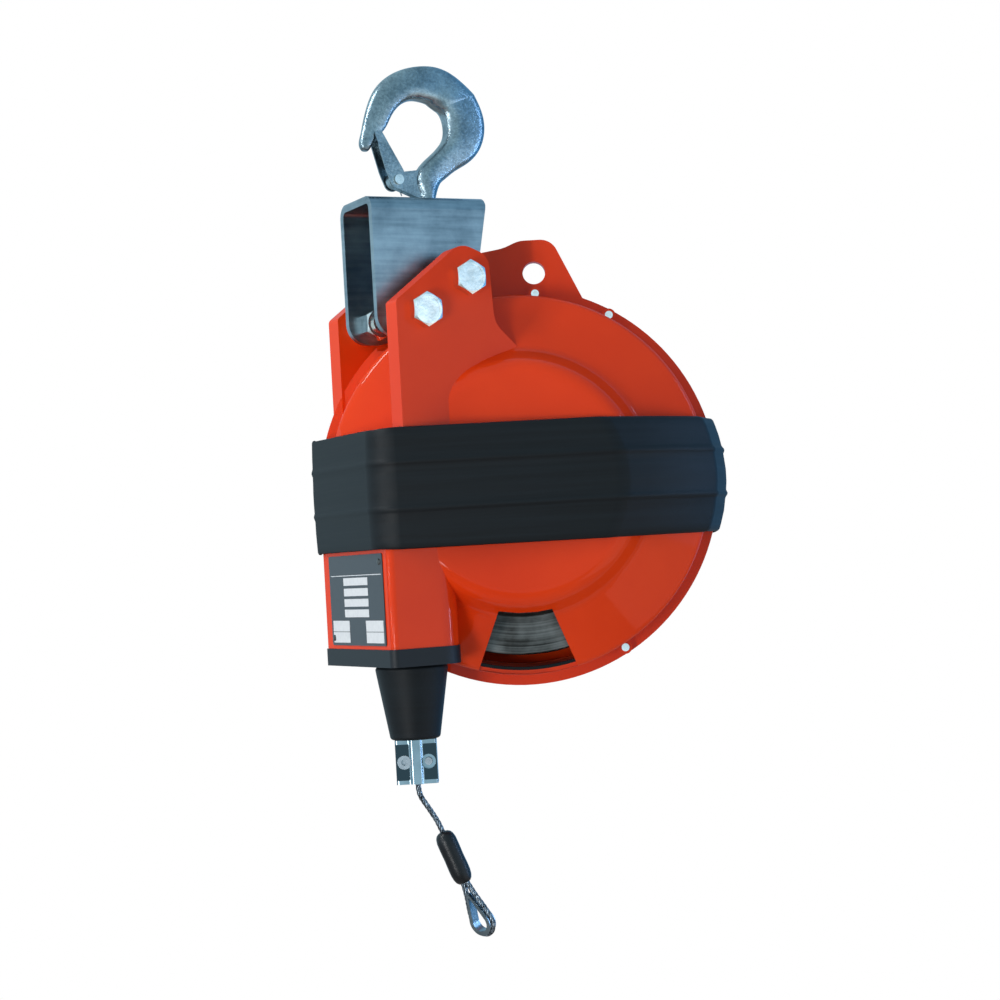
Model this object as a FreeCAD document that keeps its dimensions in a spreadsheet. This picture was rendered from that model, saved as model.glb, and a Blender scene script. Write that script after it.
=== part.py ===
import FreeCAD, Part
import math
import os
from types import SimpleNamespace

import Sketcher

# A spring balancer for hanging tools: a sprung conical rope drum inside a cast housing that hangs from
# a swivelling safety hook.  Millimetres, +Z up, the front towards -Y.  The origin is the point inside
# the hook's bowl that bears on the support, so everything hangs below it.  The drum and its covers are
# turned about Z against the suspension bracket, because the drum's cone needs it: the side of the cone
# that the rope leaves from then lies straight across the neck of the housing.

SIZES = {
    # Where the turned drum axis stands, and how far it is turned.
    "drum_x": 72.0,
    "drum_y": 0.0,
    "drum_z": -320.0,
    "drum_turn": 27.0,
    # Suspension hook and its latch.
    "shank_radius": 8.3,
    "hook_depth": 20.0,
    "latch_x": -25.5,
    "latch_z": -67.0,
    "latch_length": 42.0,
    "latch_lean": 22.9,
    "latch_width": 15.4,
    "latch_sheet": 1.5,
    "latch_pin_radius": 2.5,
    "lug_width": 7.6,
    "lug_radius": 6.5,
    # Bent suspension bracket.
    "bracket_top": -84.0,
    "bracket_left": -62.0,
    "bracket_right": 40.0,
    "bracket_bottom": -198.0,
    "bracket_width": 64.0,
    "bracket_sheet": 6.0,
    "bracket_bend": 11.0,
    # The housing's two lifting ears and the bolts through them.
    "ear_face": 69.0,
    "ear_wall": 20.0,
    "ear_left": -62.0,
    "bolt_radius": 8.0,
    "bolt_flats": 24.0,
    "bolt_head": 10.0,
    "nut_height": 13.0,
    "low_bolt_x": -39.0,
    "low_bolt_z": -181.5,
    "high_bolt_x": 0.5,
    "high_bolt_z": -156.0,
    "spacer_radius": 14.0,
    # Front cover, drum axis sizes: radius, and place along the axis with the front negative.
    "parting": -16.0,
    "rim_radius": 155.0,
    "rim_wall": 8.0,
    "shoulder_y": -50.0,
    "boss_front": -104.0,
    "boss_radius": 94.0,
    "boss_foot": 107.0,
    "boss_foot_y": -77.0,
    "wall": 6.0,
    "window_top": 103.0,
    "window_foot": 153.8,
    "eye_hole_x": 22.3,
    "eye_hole_z": 175.2,
    "eye_hole_radius": 9.3,
    "eye_end": 27.0,
    # Rear casting.
    "flange_radius": 164.0,
    "flange_wall": 10.0,
    "dish_radius": 114.0,
    "dish_back": 34.0,
    "gear_box_radius": 50.0,
    "gear_box_back": 52.0,
    "gear_cover_wall": 5.0,
    # Neck, outlet plate and rope line.
    "neck_left": -78.0,
    "neck_right": -13.5,
    "neck_front": -62.0,
    "neck_bottom": -445.0,
    "plate_wall": 14.0,
    "rope_radius": 2.2,
    "belt_half": 47.0,
    "belt_wall": 6.5,
    "belt_rib": 1.6,
    # Rope drum.
    "drum_small": 94.4,
    "drum_small_y": -70.5,
    "groove_step": 4.8,
    "groove_count": 4.0,
    "drum_flange": 138.0,
    "drum_flange_y": -44.0,
    "drum_flange_wall": 6.0,
    "cup_radius": 103.0,
    "cup_wall": 4.0,
    "cup_back": 22.0,
    "hub_radius": 26.0,
    "arbor_radius": 12.5,
    "bearing_radius": 19.0,
    "bearing_width": 12.0,
    # Spiral power spring and the worm that sets its tension.
    "spring_sheet": 1.6,
    "spring_pitch": 6.0,
    "spring_turns": 11.0,
    "spring_inner": 30.0,
    "spring_front": -34.0,
    "spring_width": 52.0,
    "wheel_radius": 30.0,
    "wheel_width": 11.0,
    "worm_radius": 8.0,
    "worm_length": 26.0,
    "spindle_radius": 5.0,
    "gear_gap": 0.3,
    # Buffer, rope clamp and the rope's end.
    "buffer_top": 29.5,
    "buffer_bottom": 19.8,
    "buffer_length": 59.0,
    "clamp_width": 33.0,
    "clamp_height": 35.0,
    "clamp_half": 9.0,
    "clamp_screw_radius": 3.0,
    "sleeve_radius": 8.2,
    "sleeve_length": 44.0,
    "thimble_width": 26.0,
    "thimble_length": 47.0,
    "thimble_sheet": 1.3,
    "thimble_twist": -70.0,
    "play": 0.3,
    "running": 0.08,
}

doc = FreeCAD.newDocument("tool_balancer")
sheet = doc.addObject("Spreadsheet::Sheet", "Sizes")
for row, (alias, number) in enumerate(SIZES.items(), start=1):
    sheet.set("A%d" % row, alias)
    sheet.set("B%d" % row, str(number))
    sheet.setAlias("B%d" % row, alias)
doc.recompute()

Vector = FreeCAD.Vector
Rotation = FreeCAD.Rotation
nodes = []


class Size:
    """A length with the spreadsheet expression that gives it, so that sums stay parametric."""

    def __init__(self, value, text):
        self.value = float(value)
        self.text = text

    def combine(self, other, sign, value):
        return Size(value, "(%s %s %s)" % (self.text, sign, as_size(other).text))

    def __add__(self, other):
        return self.combine(other, "+", self.value + as_size(other).value)

    def __sub__(self, other):
        return self.combine(other, "-", self.value - as_size(other).value)

    def __mul__(self, other):
        return self.combine(other, "*", self.value * as_size(other).value)

    def __truediv__(self, other):
        return self.combine(other, "/", self.value / as_size(other).value)

    def __neg__(self):
        return Size(-self.value, "(0 - %s)" % self.text)

    def __radd__(self, other):
        return as_size(other) + self

    def __rsub__(self, other):
        return as_size(other) - self

    def __rmul__(self, other):
        return as_size(other) * self


def as_size(thing):
    return thing if isinstance(thing, Size) else Size(thing, "(%.9g)" % thing)


def cosine(angle):
    return Size(math.cos(math.radians(angle.value)), "cos(%s * 1deg)" % angle.text)


def sine(angle):
    return Size(math.sin(math.radians(angle.value)), "sin(%s * 1deg)" % angle.text)


d = SimpleNamespace(**{name: Size(getattr(sheet, name), "Sizes." + name) for name in SIZES})

# Lengths that follow from the sizes above.
turn_cos = cosine(d.drum_turn)
turn_sin = sine(d.drum_turn)
cone_slope = turn_sin / turn_cos
bore = d.bolt_radius + 0.5
plate_top = d.neck_bottom
plate_bottom = plate_top - d.plate_wall
buffer_top_z = plate_bottom - d.play
buffer_bottom_z = buffer_top_z - d.buffer_length
clamp_top = buffer_bottom_z - d.play
clamp_bottom = clamp_top - d.clamp_height
flange_back = d.parting + d.flange_wall
leg_face = d.bracket_width / 2
ear_inside = d.ear_face - d.ear_wall
gear_cover_back = d.gear_box_back + d.gear_cover_wall
worm_x = d.wheel_radius + d.worm_radius + d.gear_gap
gear_y = d.dish_back + 8.5


def drum_to_world(x, y, z):
    """A point given across, along and above the drum axis, in the part's own frame."""
    return (
        d.drum_x + x * turn_cos + y * turn_sin,
        d.drum_y - x * turn_sin + y * turn_cos,
        d.drum_z + z,
    )


# The rope leaves the drum's small end on the neck's side and hangs straight down from there.
rope_x, rope_y, _ = drum_to_world(-d.drum_small, d.drum_small_y, 0.0)

# Sketches, features and placing -----------------------------------------------------------------


def bind(thing, path, amount):
    thing.setExpression(path, as_size(amount).text)


def body(label):
    made = doc.addObject("PartDesign::Body", label)
    made.Label = label
    return made


def attach(sketch, owner, role, shift, on_drum):
    """Lay a sketch on one of its body's planes, or on that plane carried along to the drum axis."""
    planes = [plane for plane in owner.Origin.OriginFeatures if plane.Role == role]
    sketch.AttachmentSupport = [(planes[0], "")]
    sketch.MapMode = "FlatFace"
    across, up, out = 0.0, 0.0, as_size(shift)
    spin = Rotation()
    if on_drum:
        turn = d.drum_turn.value
        if role == "XY_Plane":
            across, up, out = d.drum_x, d.drum_y, out + d.drum_z
            spin = Rotation(Vector(0, 0, 1), -turn)
        elif role == "XZ_Plane":
            across, up, out = d.drum_x - out * turn_sin, d.drum_z, out * turn_cos - d.drum_y
            spin = Rotation(Vector(0, 1, 0), -turn)
        else:
            across, up, out = d.drum_y - out * turn_sin, d.drum_z, d.drum_x + out * turn_cos
            spin = Rotation(Vector(0, 1, 0), -turn)
    sketch.AttachmentOffset = FreeCAD.Placement(Vector(), spin)
    bind(sketch, "AttachmentOffset.Base.x", across)
    bind(sketch, "AttachmentOffset.Base.y", up)
    bind(sketch, "AttachmentOffset.Base.z", out)


def pin_point(sketch, geometry, end, x, y):
    for kind, amount in (("DistanceX", x), ("DistanceY", y)):
        amount = as_size(amount)
        index = sketch.addConstraint(Sketcher.Constraint(kind, -1, 1, geometry, end, amount.value))
        sketch.setExpression("Constraints[%d]" % index, amount.text)


def draw_circle(sketch, x, y, radius):
    centre = Vector(as_size(x).value, as_size(y).value, 0)
    index = sketch.addGeometry(Part.Circle(centre, Vector(0, 0, 1), as_size(radius).value), False)
    pin_point(sketch, index, 3, x, y)
    fixed = sketch.addConstraint(Sketcher.Constraint("Radius", index, as_size(radius).value))
    sketch.setExpression("Constraints[%d]" % fixed, as_size(radius).text)


def corner_points(before, here, after, radius):
    """Where a rounding of this radius starts and ends, and its centre."""
    back = (before - here).normalize()
    ahead = (after - here).normalize()
    half = back.getAngle(ahead) / 2
    reach = radius / math.tan(half)
    middle = (back + ahead).normalize() * (radius / math.sin(half))
    return here + back * reach, here + ahead * reach, here + middle


def draw_outline(sketch, outline):
    """A closed outline of corners (x, y) or (x, y, rounding radius), each tied to its sizes."""
    spots = [Vector(as_size(p[0]).value, as_size(p[1]).value, 0) for p in outline]
    count = len(spots)
    starts, ends, centres = [], [], []
    for i, corner in enumerate(outline):
        if len(corner) == 3:
            first, last, middle = corner_points(
                spots[i - 1], spots[i], spots[(i + 1) % count], as_size(corner[2]).value
            )
        else:
            first, last, middle = spots[i], spots[i], None
        starts.append(first)
        ends.append(last)
        centres.append(middle)
    lines = [
        sketch.addGeometry(Part.LineSegment(ends[i], starts[(i + 1) % count]), False) for i in range(count)
    ]
    for i, corner in enumerate(outline):
        before, after = lines[i - 1], lines[i]
        if len(corner) == 2:
            sketch.addConstraint(Sketcher.Constraint("Coincident", before, 2, after, 1))
            pin_point(sketch, after, 1, corner[0], corner[1])
            continue
        spot = sketch.addGeometry(Part.Point(spots[i]), True)
        pin_point(sketch, spot, 1, corner[0], corner[1])
        sketch.addConstraint(Sketcher.Constraint("PointOnObject", spot, 1, before))
        sketch.addConstraint(Sketcher.Constraint("PointOnObject", spot, 1, after))
        radius = as_size(corner[2])
        centre = centres[i]
        first = math.atan2(starts[i].y - centre.y, starts[i].x - centre.x)
        last = math.atan2(ends[i].y - centre.y, ends[i].x - centre.x)
        forward = (last - first) % (2 * math.pi) < math.pi
        low, high = (first, last) if forward else (last, first)
        ring = Part.Circle(centre, Vector(0, 0, 1), radius.value)
        arc = sketch.addGeometry(Part.ArcOfCircle(ring, low, high), False)
        near, far = (1, 2) if forward else (2, 1)
        sketch.addConstraint(Sketcher.Constraint("Tangent", before, 2, arc, near))
        sketch.addConstraint(Sketcher.Constraint("Tangent", after, 1, arc, far))
        index = sketch.addConstraint(Sketcher.Constraint("Radius", arc, radius.value))
        sketch.setExpression("Constraints[%d]" % index, radius.text)


def sketched(owner, role, outlines, shift=0.0, on_drum=False):
    sketch = owner.newObject("Sketcher::SketchObject", owner.Label + "_sketch")
    attach(sketch, owner, role, shift, on_drum)
    for outline in outlines:
        if isinstance(outline[0], tuple):
            draw_outline(sketch, outline)
        else:
            draw_circle(sketch, *outline)
    return sketch


def slab(owner, kind, role, outlines, start, end, on_drum=False):
    """Pad or pocket between two places on the axis across the plane."""
    towards_front = role == "XZ_Plane"
    shift = -as_size(end) if towards_front else start
    sketch = sketched(owner, role, outlines, shift, on_drum)
    before = owner.Shape.Volume if kind == "Pocket" else 0
    feature = owner.newObject("PartDesign::" + kind, owner.Label + "_" + kind.lower())
    feature.Profile = sketch
    bind(feature, "Length", as_size(end) - start)
    feature.Reversed = kind == "Pocket"
    doc.recompute()
    if kind == "Pocket" and not owner.Shape.Volume < before - 1e-3:
        raise ValueError("a pocket in %s cuts nothing" % owner.Label)
    return feature


def pad(owner, role, outlines, start, end, on_drum=False):
    return slab(owner, "Pad", role, outlines, start, end, on_drum)


def pocket(owner, role, outlines, start, end, on_drum=False):
    return slab(owner, "Pocket", role, outlines, start, end, on_drum)


def spin(owner, kind, outlines, role="XY_Plane", on_drum=False, degrees=360.0):
    """Revolution or groove about the sketch's upright axis."""
    sketch = sketched(owner, role, outlines, 0.0, on_drum)
    before = owner.Shape.Volume if kind == "Groove" else 0
    feature = owner.newObject("PartDesign::" + kind, owner.Label + "_" + kind.lower())
    feature.Profile = sketch
    feature.ReferenceAxis = (sketch, ["V_Axis"])
    feature.Angle = degrees
    doc.recompute()
    if kind == "Groove" and not owner.Shape.Volume < before - 1e-3:
        raise ValueError("a groove in %s cuts nothing" % owner.Label)
    return feature


def turned_on_drum(owner, outlines, kind="Revolution"):
    return spin(owner, kind, outlines, "XY_Plane", True)


def turned_upright(owner, outlines, kind="Revolution"):
    return spin(owner, kind, outlines, "XZ_Plane", False)


def place(thing, spot, rotation=Rotation()):
    thing.Placement = FreeCAD.Placement(Vector(), rotation)
    for letter, amount in zip("xyz", spot):
        bind(thing, "Placement.Base." + letter, amount)
    return thing


def keep(thing, label=None):
    """Mark a finished object as a node of the product."""
    if label:
        thing.Label = label
    nodes.append(thing)
    return thing


def together(label, pieces):
    group = doc.addObject("Part::Compound", label)
    group.Links = pieces
    return keep(group, label)


def boolean(kind, label, base, tool):
    made = doc.addObject("Part::" + kind, label)
    made.Base = base
    made.Tool = tool
    doc.recompute()
    return made


drum_centre = Vector(d.drum_x.value, d.drum_y.value, d.drum_z.value)
drum_spin = Rotation(Vector(0, 0, 1), -d.drum_turn.value)
drum_back = drum_spin.multVec(Vector(0, 1, 0))
facing_front = Rotation(Vector(1, 0, 0), 90)
facing_back = Rotation(Vector(1, 0, 0), -90)
drum_front = drum_spin.multiply(facing_front)
drum_rear = drum_spin.multiply(facing_back)

# Suspension hook: forged bow, swivelling shank, safety latch ---------------------------------------


# Sections of the forging from the shank round to the tip: the point on its inner side, the point on
# its outer side, its thickness, and how far it has changed from round to the forged form.
HOOK_SECTIONS = (
    ((-6.0, -76.0), (10.7, -76.5), 17.6, 0.0),
    ((-8.0, -65.0), (13.5, -70.0), 18.5, 0.4),
    ((4.9, -47.2), (18.8, -64.7), 19.0, 0.9),
    ((14.0, -39.3), (28.6, -57.6), 19.5, 1.0),
    ((20.0, -31.6), (48.0, -44.5), 20.0, 1.0),
    ((21.8, -23.5), (57.0, -27.0), 20.0, 1.0),
    ((20.9, -15.5), (57.2, -12.0), 20.0, 1.0),
    ((15.6, -7.6), (50.0, 6.5), 20.0, 1.0),
    ((7.6, -2.2), (34.5, 20.2), 19.5, 1.0),
    ((-3.0, 0.0), (4.0, 28.6), 19.0, 1.0),
    ((-13.8, -2.2), (-21.5, 22.0), 18.0, 1.0),
    ((-22.6, -9.0), (-38.6, 8.2), 16.4, 1.0),
    ((-28.0, -16.8), (-46.4, -6.5), 14.0, 1.0),
    ((-33.4, -25.8), (-51.0, -20.5), 11.2, 1.0),
    ((-40.6, -33.2), (-53.6, -30.0), 10.4, 0.8),
    ((-46.0, -40.6), (-55.4, -38.2), 9.0, 0.5),
    ((-49.0, -43.6), (-53.6, -42.8), 5.0, 0.0),
)


def forged_ring(inner, outer, thick, share):
    """Closed section across the hook: full at its inner side, with flat faces that thin outward."""
    first = Vector(inner[0], 0, inner[1])
    across = Vector(outer[0], 0, outer[1]) - first
    forged = ((0.0, 0.0), (0.02, 0.5), (0.11, 0.85), (0.34, 1.0), (0.72, 0.86), (0.91, 0.66), (0.985, 0.34), (1.0, 0.0))
    half = []
    for index, (place_on, high) in enumerate(forged):
        angle = math.pi * index / (len(forged) - 1)
        half.append((place_on * share + (1 - math.cos(angle)) / 2 * (1 - share),
                     high * share + math.sin(angle) * (1 - share)))
    loop = half + [(place_on, -high) for place_on, high in reversed(half[1:-1])]
    line = Part.BSplineCurve()
    line.interpolate(Points=[first + across * place_on + Vector(0, high * thick / 2, 0) for place_on, high in loop],
                     PeriodicFlag=True)
    return Part.Wire([line.toShape()])


def make_hook():
    top = d.bracket_top.value
    shank = d.shank_radius.value
    shoulder = shank + 0.5
    rings = [forged_ring((-shoulder, top + 0.2), (shoulder, top + 0.2), shoulder * 2, 0.0)]
    for inner, outer, thick, share in HOOK_SECTIONS:
        rings.append(forged_ring(inner, outer, thick * d.hook_depth.value / 20.0, share))
    halfway = 8
    bow = [Part.makeLoft(rings[:halfway + 1], True, False), Part.makeLoft(rings[halfway:], True, False)]
    pin = Vector(d.latch_x.value, 0, d.latch_z.value)
    half = d.lug_width.value / 2
    along_y = Vector(0, 1, 0)
    round_lug = d.lug_radius.value
    lug = Part.makeCylinder(round_lug, half * 2, pin - along_y * half, along_y)
    corners = [(pin.x, pin.z + round_lug), (-2.0, pin.z + round_lug + 3.0), (2.0, top + 3.0), (-6.0, top + 3.0),
               (pin.x, pin.z - round_lug)]
    corners = [Vector(x, -half, z) for x, z in corners]
    arm = Part.Face(Part.makePolygon(corners + [corners[0]])).extrude(Vector(0, half * 2, 0))
    root = top - d.bracket_sheet.value
    thread = Part.makeCylinder(shank, 34.4, Vector(0, 0, root - 28))
    pin_hole = Part.makeCylinder(d.latch_pin_radius.value, 40, pin - along_y * 20, along_y)
    cotter_hole = Part.makeCylinder(2.2, 40, Vector(-20, 0, root - 23.5), Vector(1, 0, 0))
    solid = bow[0].fuse([bow[1], lug, arm, thread]).removeSplitter().cut([pin_hole, cotter_hole])
    hook = doc.addObject("Part::Feature", "suspension_hook")
    hook.Shape = solid
    return keep(hook)


def make_hook_nut():
    nut = body("hook_nut")
    root = d.bracket_top - d.bracket_sheet
    low = root - 4.0 - 14.0
    hexagon = [(16.0 * math.cos(math.radians(60 * i)), 16.0 * math.sin(math.radians(60 * i))) for i in range(6)]
    pad(nut, "XY_Plane", [hexagon, (0, 0, d.shank_radius)], low, root - 4.0)
    for turn in range(3):
        angle = math.radians(60 * turn)
        across, along = Vector(math.cos(angle), math.sin(angle), 0), Vector(-math.sin(angle), math.cos(angle), 0)
        corners = [along * a + across * b for a, b in ((-2.4, -20), (2.4, -20), (2.4, 20), (-2.4, 20))]
        pocket(nut, "XY_Plane", [[(c.x, c.y) for c in corners]], low - 1, low + 5.0)
    keep(nut)
    washer = body("thrust_washer")
    turned_upright(washer, [[(d.shank_radius + 0.05, root - 4.0), (17.0, root - 4.0), (17.0, root - d.play),
                             (d.shank_radius + 0.05, root - d.play)]])
    keep(washer)
    cotter = doc.addObject("Part::Cylinder", "cotter_pin")
    cotter.Radius = 2.1
    cotter.Height = 38
    place(cotter, (-19.0, 0.0, root - 23.5), Rotation(Vector(0, 1, 0), 90))
    keep(cotter)


def make_latch():
    """Pressed channel that closes the hook's mouth, with the pin and the wire spring at its pivot."""
    length, gauge = d.latch_length, d.latch_sheet
    latch = body("safety_latch")
    half = d.latch_width / 2
    web_foot, web_top = d.lug_radius + 5.0, length - 5.6
    pad(latch, "XZ_Plane", [[(-7.2, -7.5, 7.0), (7.0, -7.5, 7.0), (7.4, 6.0, 20.0), (3.4, length, 1.6),
                             (-2.6, length + 0.4, 1.6), (-7.0, 10.0, 40.0)]], -half, half)
    pocket(latch, "XZ_Plane", [[(-12.0, -12.0), (12.0, -12.0), (12.0, web_foot), (6.0 - gauge, web_foot),
                                (4.1 - gauge, web_top), (12.0, web_top), (12.0, length + 4.0), (-12.0, length + 4.0)]],
           -half + gauge, half - gauge)
    pocket(latch, "XZ_Plane", [(0, 0, d.latch_pin_radius + d.running)], -half - 1.0, half + 1.0)
    place(latch, (d.latch_x, 0.0, d.latch_z), Rotation(Vector(0, 1, 0), -d.latch_lean.value))
    keep(latch)
    pin = body("latch_pin")
    reach = half + 1.8
    pad(pin, "XZ_Plane", [(0, 0, d.latch_pin_radius)], -reach, reach)
    for end in (-reach, reach - 1.5):
        pad(pin, "XZ_Plane", [(0, 0, d.latch_pin_radius + 1.5)], end, end + 1.5)
    place(pin, (d.latch_x, 0.0, d.latch_z))
    keep(pin)


def make_latch_spring():
    """Torsion spring: a few round coils beside the lug, with one leg on the hook."""
    wire, coil = 0.5, d.latch_pin_radius.value + 0.8
    spot = Vector(d.latch_x.value, d.lug_width.value / 2 + 0.05, d.latch_z.value)
    rings = []
    for turn in range(2):
        ring = Part.makeTorus(coil, wire, spot + Vector(0, wire * (1 + 2 * turn), 0), Vector(0, 1, 0))
        rings.append(ring)
    leg = Part.makeCylinder(wire, 12, spot + Vector(coil, wire, 0), Vector(0.35, 0, -1))
    spring = doc.addObject("Part::Feature", "latch_spring")
    spring.Shape = rings[0].fuse([rings[1], leg])
    return keep(spring)


# Suspension bracket, bolts, nuts and spacers ------------------------------------------------------


def bolt_places():
    return [(d.low_bolt_x, d.low_bolt_z), (d.high_bolt_x, d.high_bolt_z)]


def make_bracket():
    half, gauge, bend = leg_face, d.bracket_sheet, d.bracket_bend
    top, low = d.bracket_top, d.bracket_bottom - 5.0
    channel = body("bracket_channel")
    pad(channel, "YZ_Plane", [[(-half, low), (-half, top, bend), (half, top, bend), (half, low),
                               (half - gauge, low), (half - gauge, top - gauge, bend - gauge),
                               (-half + gauge, top - gauge, bend - gauge), (-half + gauge, low)]],
        d.bracket_left - 5.0, d.bracket_right + 5.0)
    side = body("bracket_side")
    right, left = d.bracket_right, d.bracket_left
    holes = [(x, z, bore) for x, z in bolt_places()]
    pad(side, "XZ_Plane", [[(left, top + 5.0), (right, top + 5.0), (right, top - 6.0, 6.0),
                            (d.high_bolt_x + 25.0, d.high_bolt_z - 8.0, 12.0),
                            (d.low_bolt_x + 8.0, d.bracket_bottom, 16.0),
                            (left, d.bracket_bottom, 17.0)]] + holes, -half - 5.0, half + 5.0)
    shape = boolean("Common", "bracket_bent", channel, side)
    hole = doc.addObject("Part::Cylinder", "hook_bore")
    bind(hole, "Radius", d.shank_radius + d.running)
    hole.Height = 20
    place(hole, (0, 0, top - gauge - 5.0))
    return keep(boolean("Cut", "suspension_bracket", shape, hole), "suspension_bracket")


def hex_outline(flats):
    corner = flats / math.sqrt(3)
    return [(corner * math.cos(math.radians(60 * i + 30)), corner * math.sin(math.radians(60 * i + 30)))
            for i in range(6)]


def chamfer_cut(flats, height, away):
    """Outline that trims a hexagon's corners to a cone at its outer end, turned about Z."""
    inner, outer = flats / 2 * 0.96, flats * 0.62
    drop = (outer - inner) * math.tan(math.radians(30))
    return [(inner, height), (outer, height), (outer, height - drop * away)]


def make_bolts():
    """M16 bolts through each ear, spacer and bracket leg, their heads outside and their nuts inside."""
    length = d.ear_face - leg_face + d.bracket_sheet + d.nut_height + 3.0
    bolts, nuts, spacers = [], [], []
    for x, z in bolt_places():
        for side, facing in ((-1, facing_front), (1, facing_back)):
            bolt = body("ear_bolt_%d" % (len(bolts) + 1))
            pad(bolt, "XY_Plane", [hex_outline(d.bolt_flats)], 0.0, d.bolt_head)
            turned_upright(bolt, [chamfer_cut(d.bolt_flats, d.bolt_head, 1)], "Groove")
            pocket(bolt, "XY_Plane", [(0, 0, d.bolt_flats * 0.4)], d.bolt_head - 0.5, d.bolt_head + 1.0)
            pad(bolt, "XY_Plane", [(0, 0, d.bolt_radius)], -length, 0.5)
            bolts.append(place(bolt, (x, side * d.ear_face, z), facing))
            nut = body("bracket_nut_%d" % (len(nuts) + 1))
            pad(nut, "XY_Plane", [hex_outline(d.bolt_flats), (0, 0, d.bolt_radius)], 0.0, d.nut_height)
            turned_upright(nut, [chamfer_cut(d.bolt_flats, d.nut_height, 1)], "Groove")
            inside = side * (leg_face - d.bracket_sheet)
            nuts.append(place(nut, (x, inside, z), facing_back if side < 0 else facing_front))
            spacer = body("spacer_%d" % (len(spacers) + 1))
            pad(spacer, "XZ_Plane", [(0, 0, d.spacer_radius), (0, 0, bore)], 0.0, ear_inside - leg_face)
            start = -ear_inside if side < 0 else leg_face
            spacers.append(place(spacer, (x, start, z)))
    together("ear_bolts", bolts)
    together("bracket_nuts", nuts)
    together("bracket_spacers", spacers)


# Housing: front cover, rear casting, screws -------------------------------------------------------


def ear_outline(right_foot):
    """Lifting ear seen from the front, its top sloping up to the higher bolt."""
    left = d.ear_left
    return [(left, d.low_bolt_z + 8.0, 5.0), (d.high_bolt_x - 4.0, d.high_bolt_z + 28.0, 16.0),
            (d.high_bolt_x + 20.0, d.high_bolt_z + 18.0, 14.0)] + right_foot + [(left, -300.0)]


def on_parting(x, shift):
    """Where a line across at one X meets the turned plane of the parting, pushed back by shift."""
    return d.drum_y - (x - d.drum_x) * cone_slope + (d.parting + shift) / turn_cos


def neck_outline(inset, front_only):
    left, right = d.neck_left + inset, d.neck_right - inset
    back = 0.0 if front_only else d.flange_wall
    return [(left, d.neck_front + inset, 6.0), (right, d.neck_front + inset, 21.0 - as_size(inset)),
            (right, on_parting(right, back)), (left, on_parting(left, back))]


def screw_places():
    """Angles of the cover screws from straight up, and the circle that they stand on."""
    return [(angle, d.flange_radius - 5.5) for angle in (8, 31, 150)]


def window_outline():
    """Sight window low in the cover, between two turned edges and two slanting ones."""
    outline = []
    for radius, angles in ((d.window_top, (-12.6, -4.0, 4.5, 11.2)), (d.window_foot, (14.6, 8.0, 0.0, -8.0, -15.6))):
        for angle in angles:
            outline.append((radius * math.sin(math.radians(angle)), radius * -math.cos(math.radians(angle))))
    return outline


def trim_left(casting):
    """Cut a casting's disc off flush with the flat left face of the neck."""
    left, reach = d.neck_left, 100.0
    pocket(casting, "XY_Plane", [[(left - 30.0, -reach), (left, -reach), (left, reach), (left - 30.0, reach)]],
           plate_top - 50.0, d.drum_z + 120.0)


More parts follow.
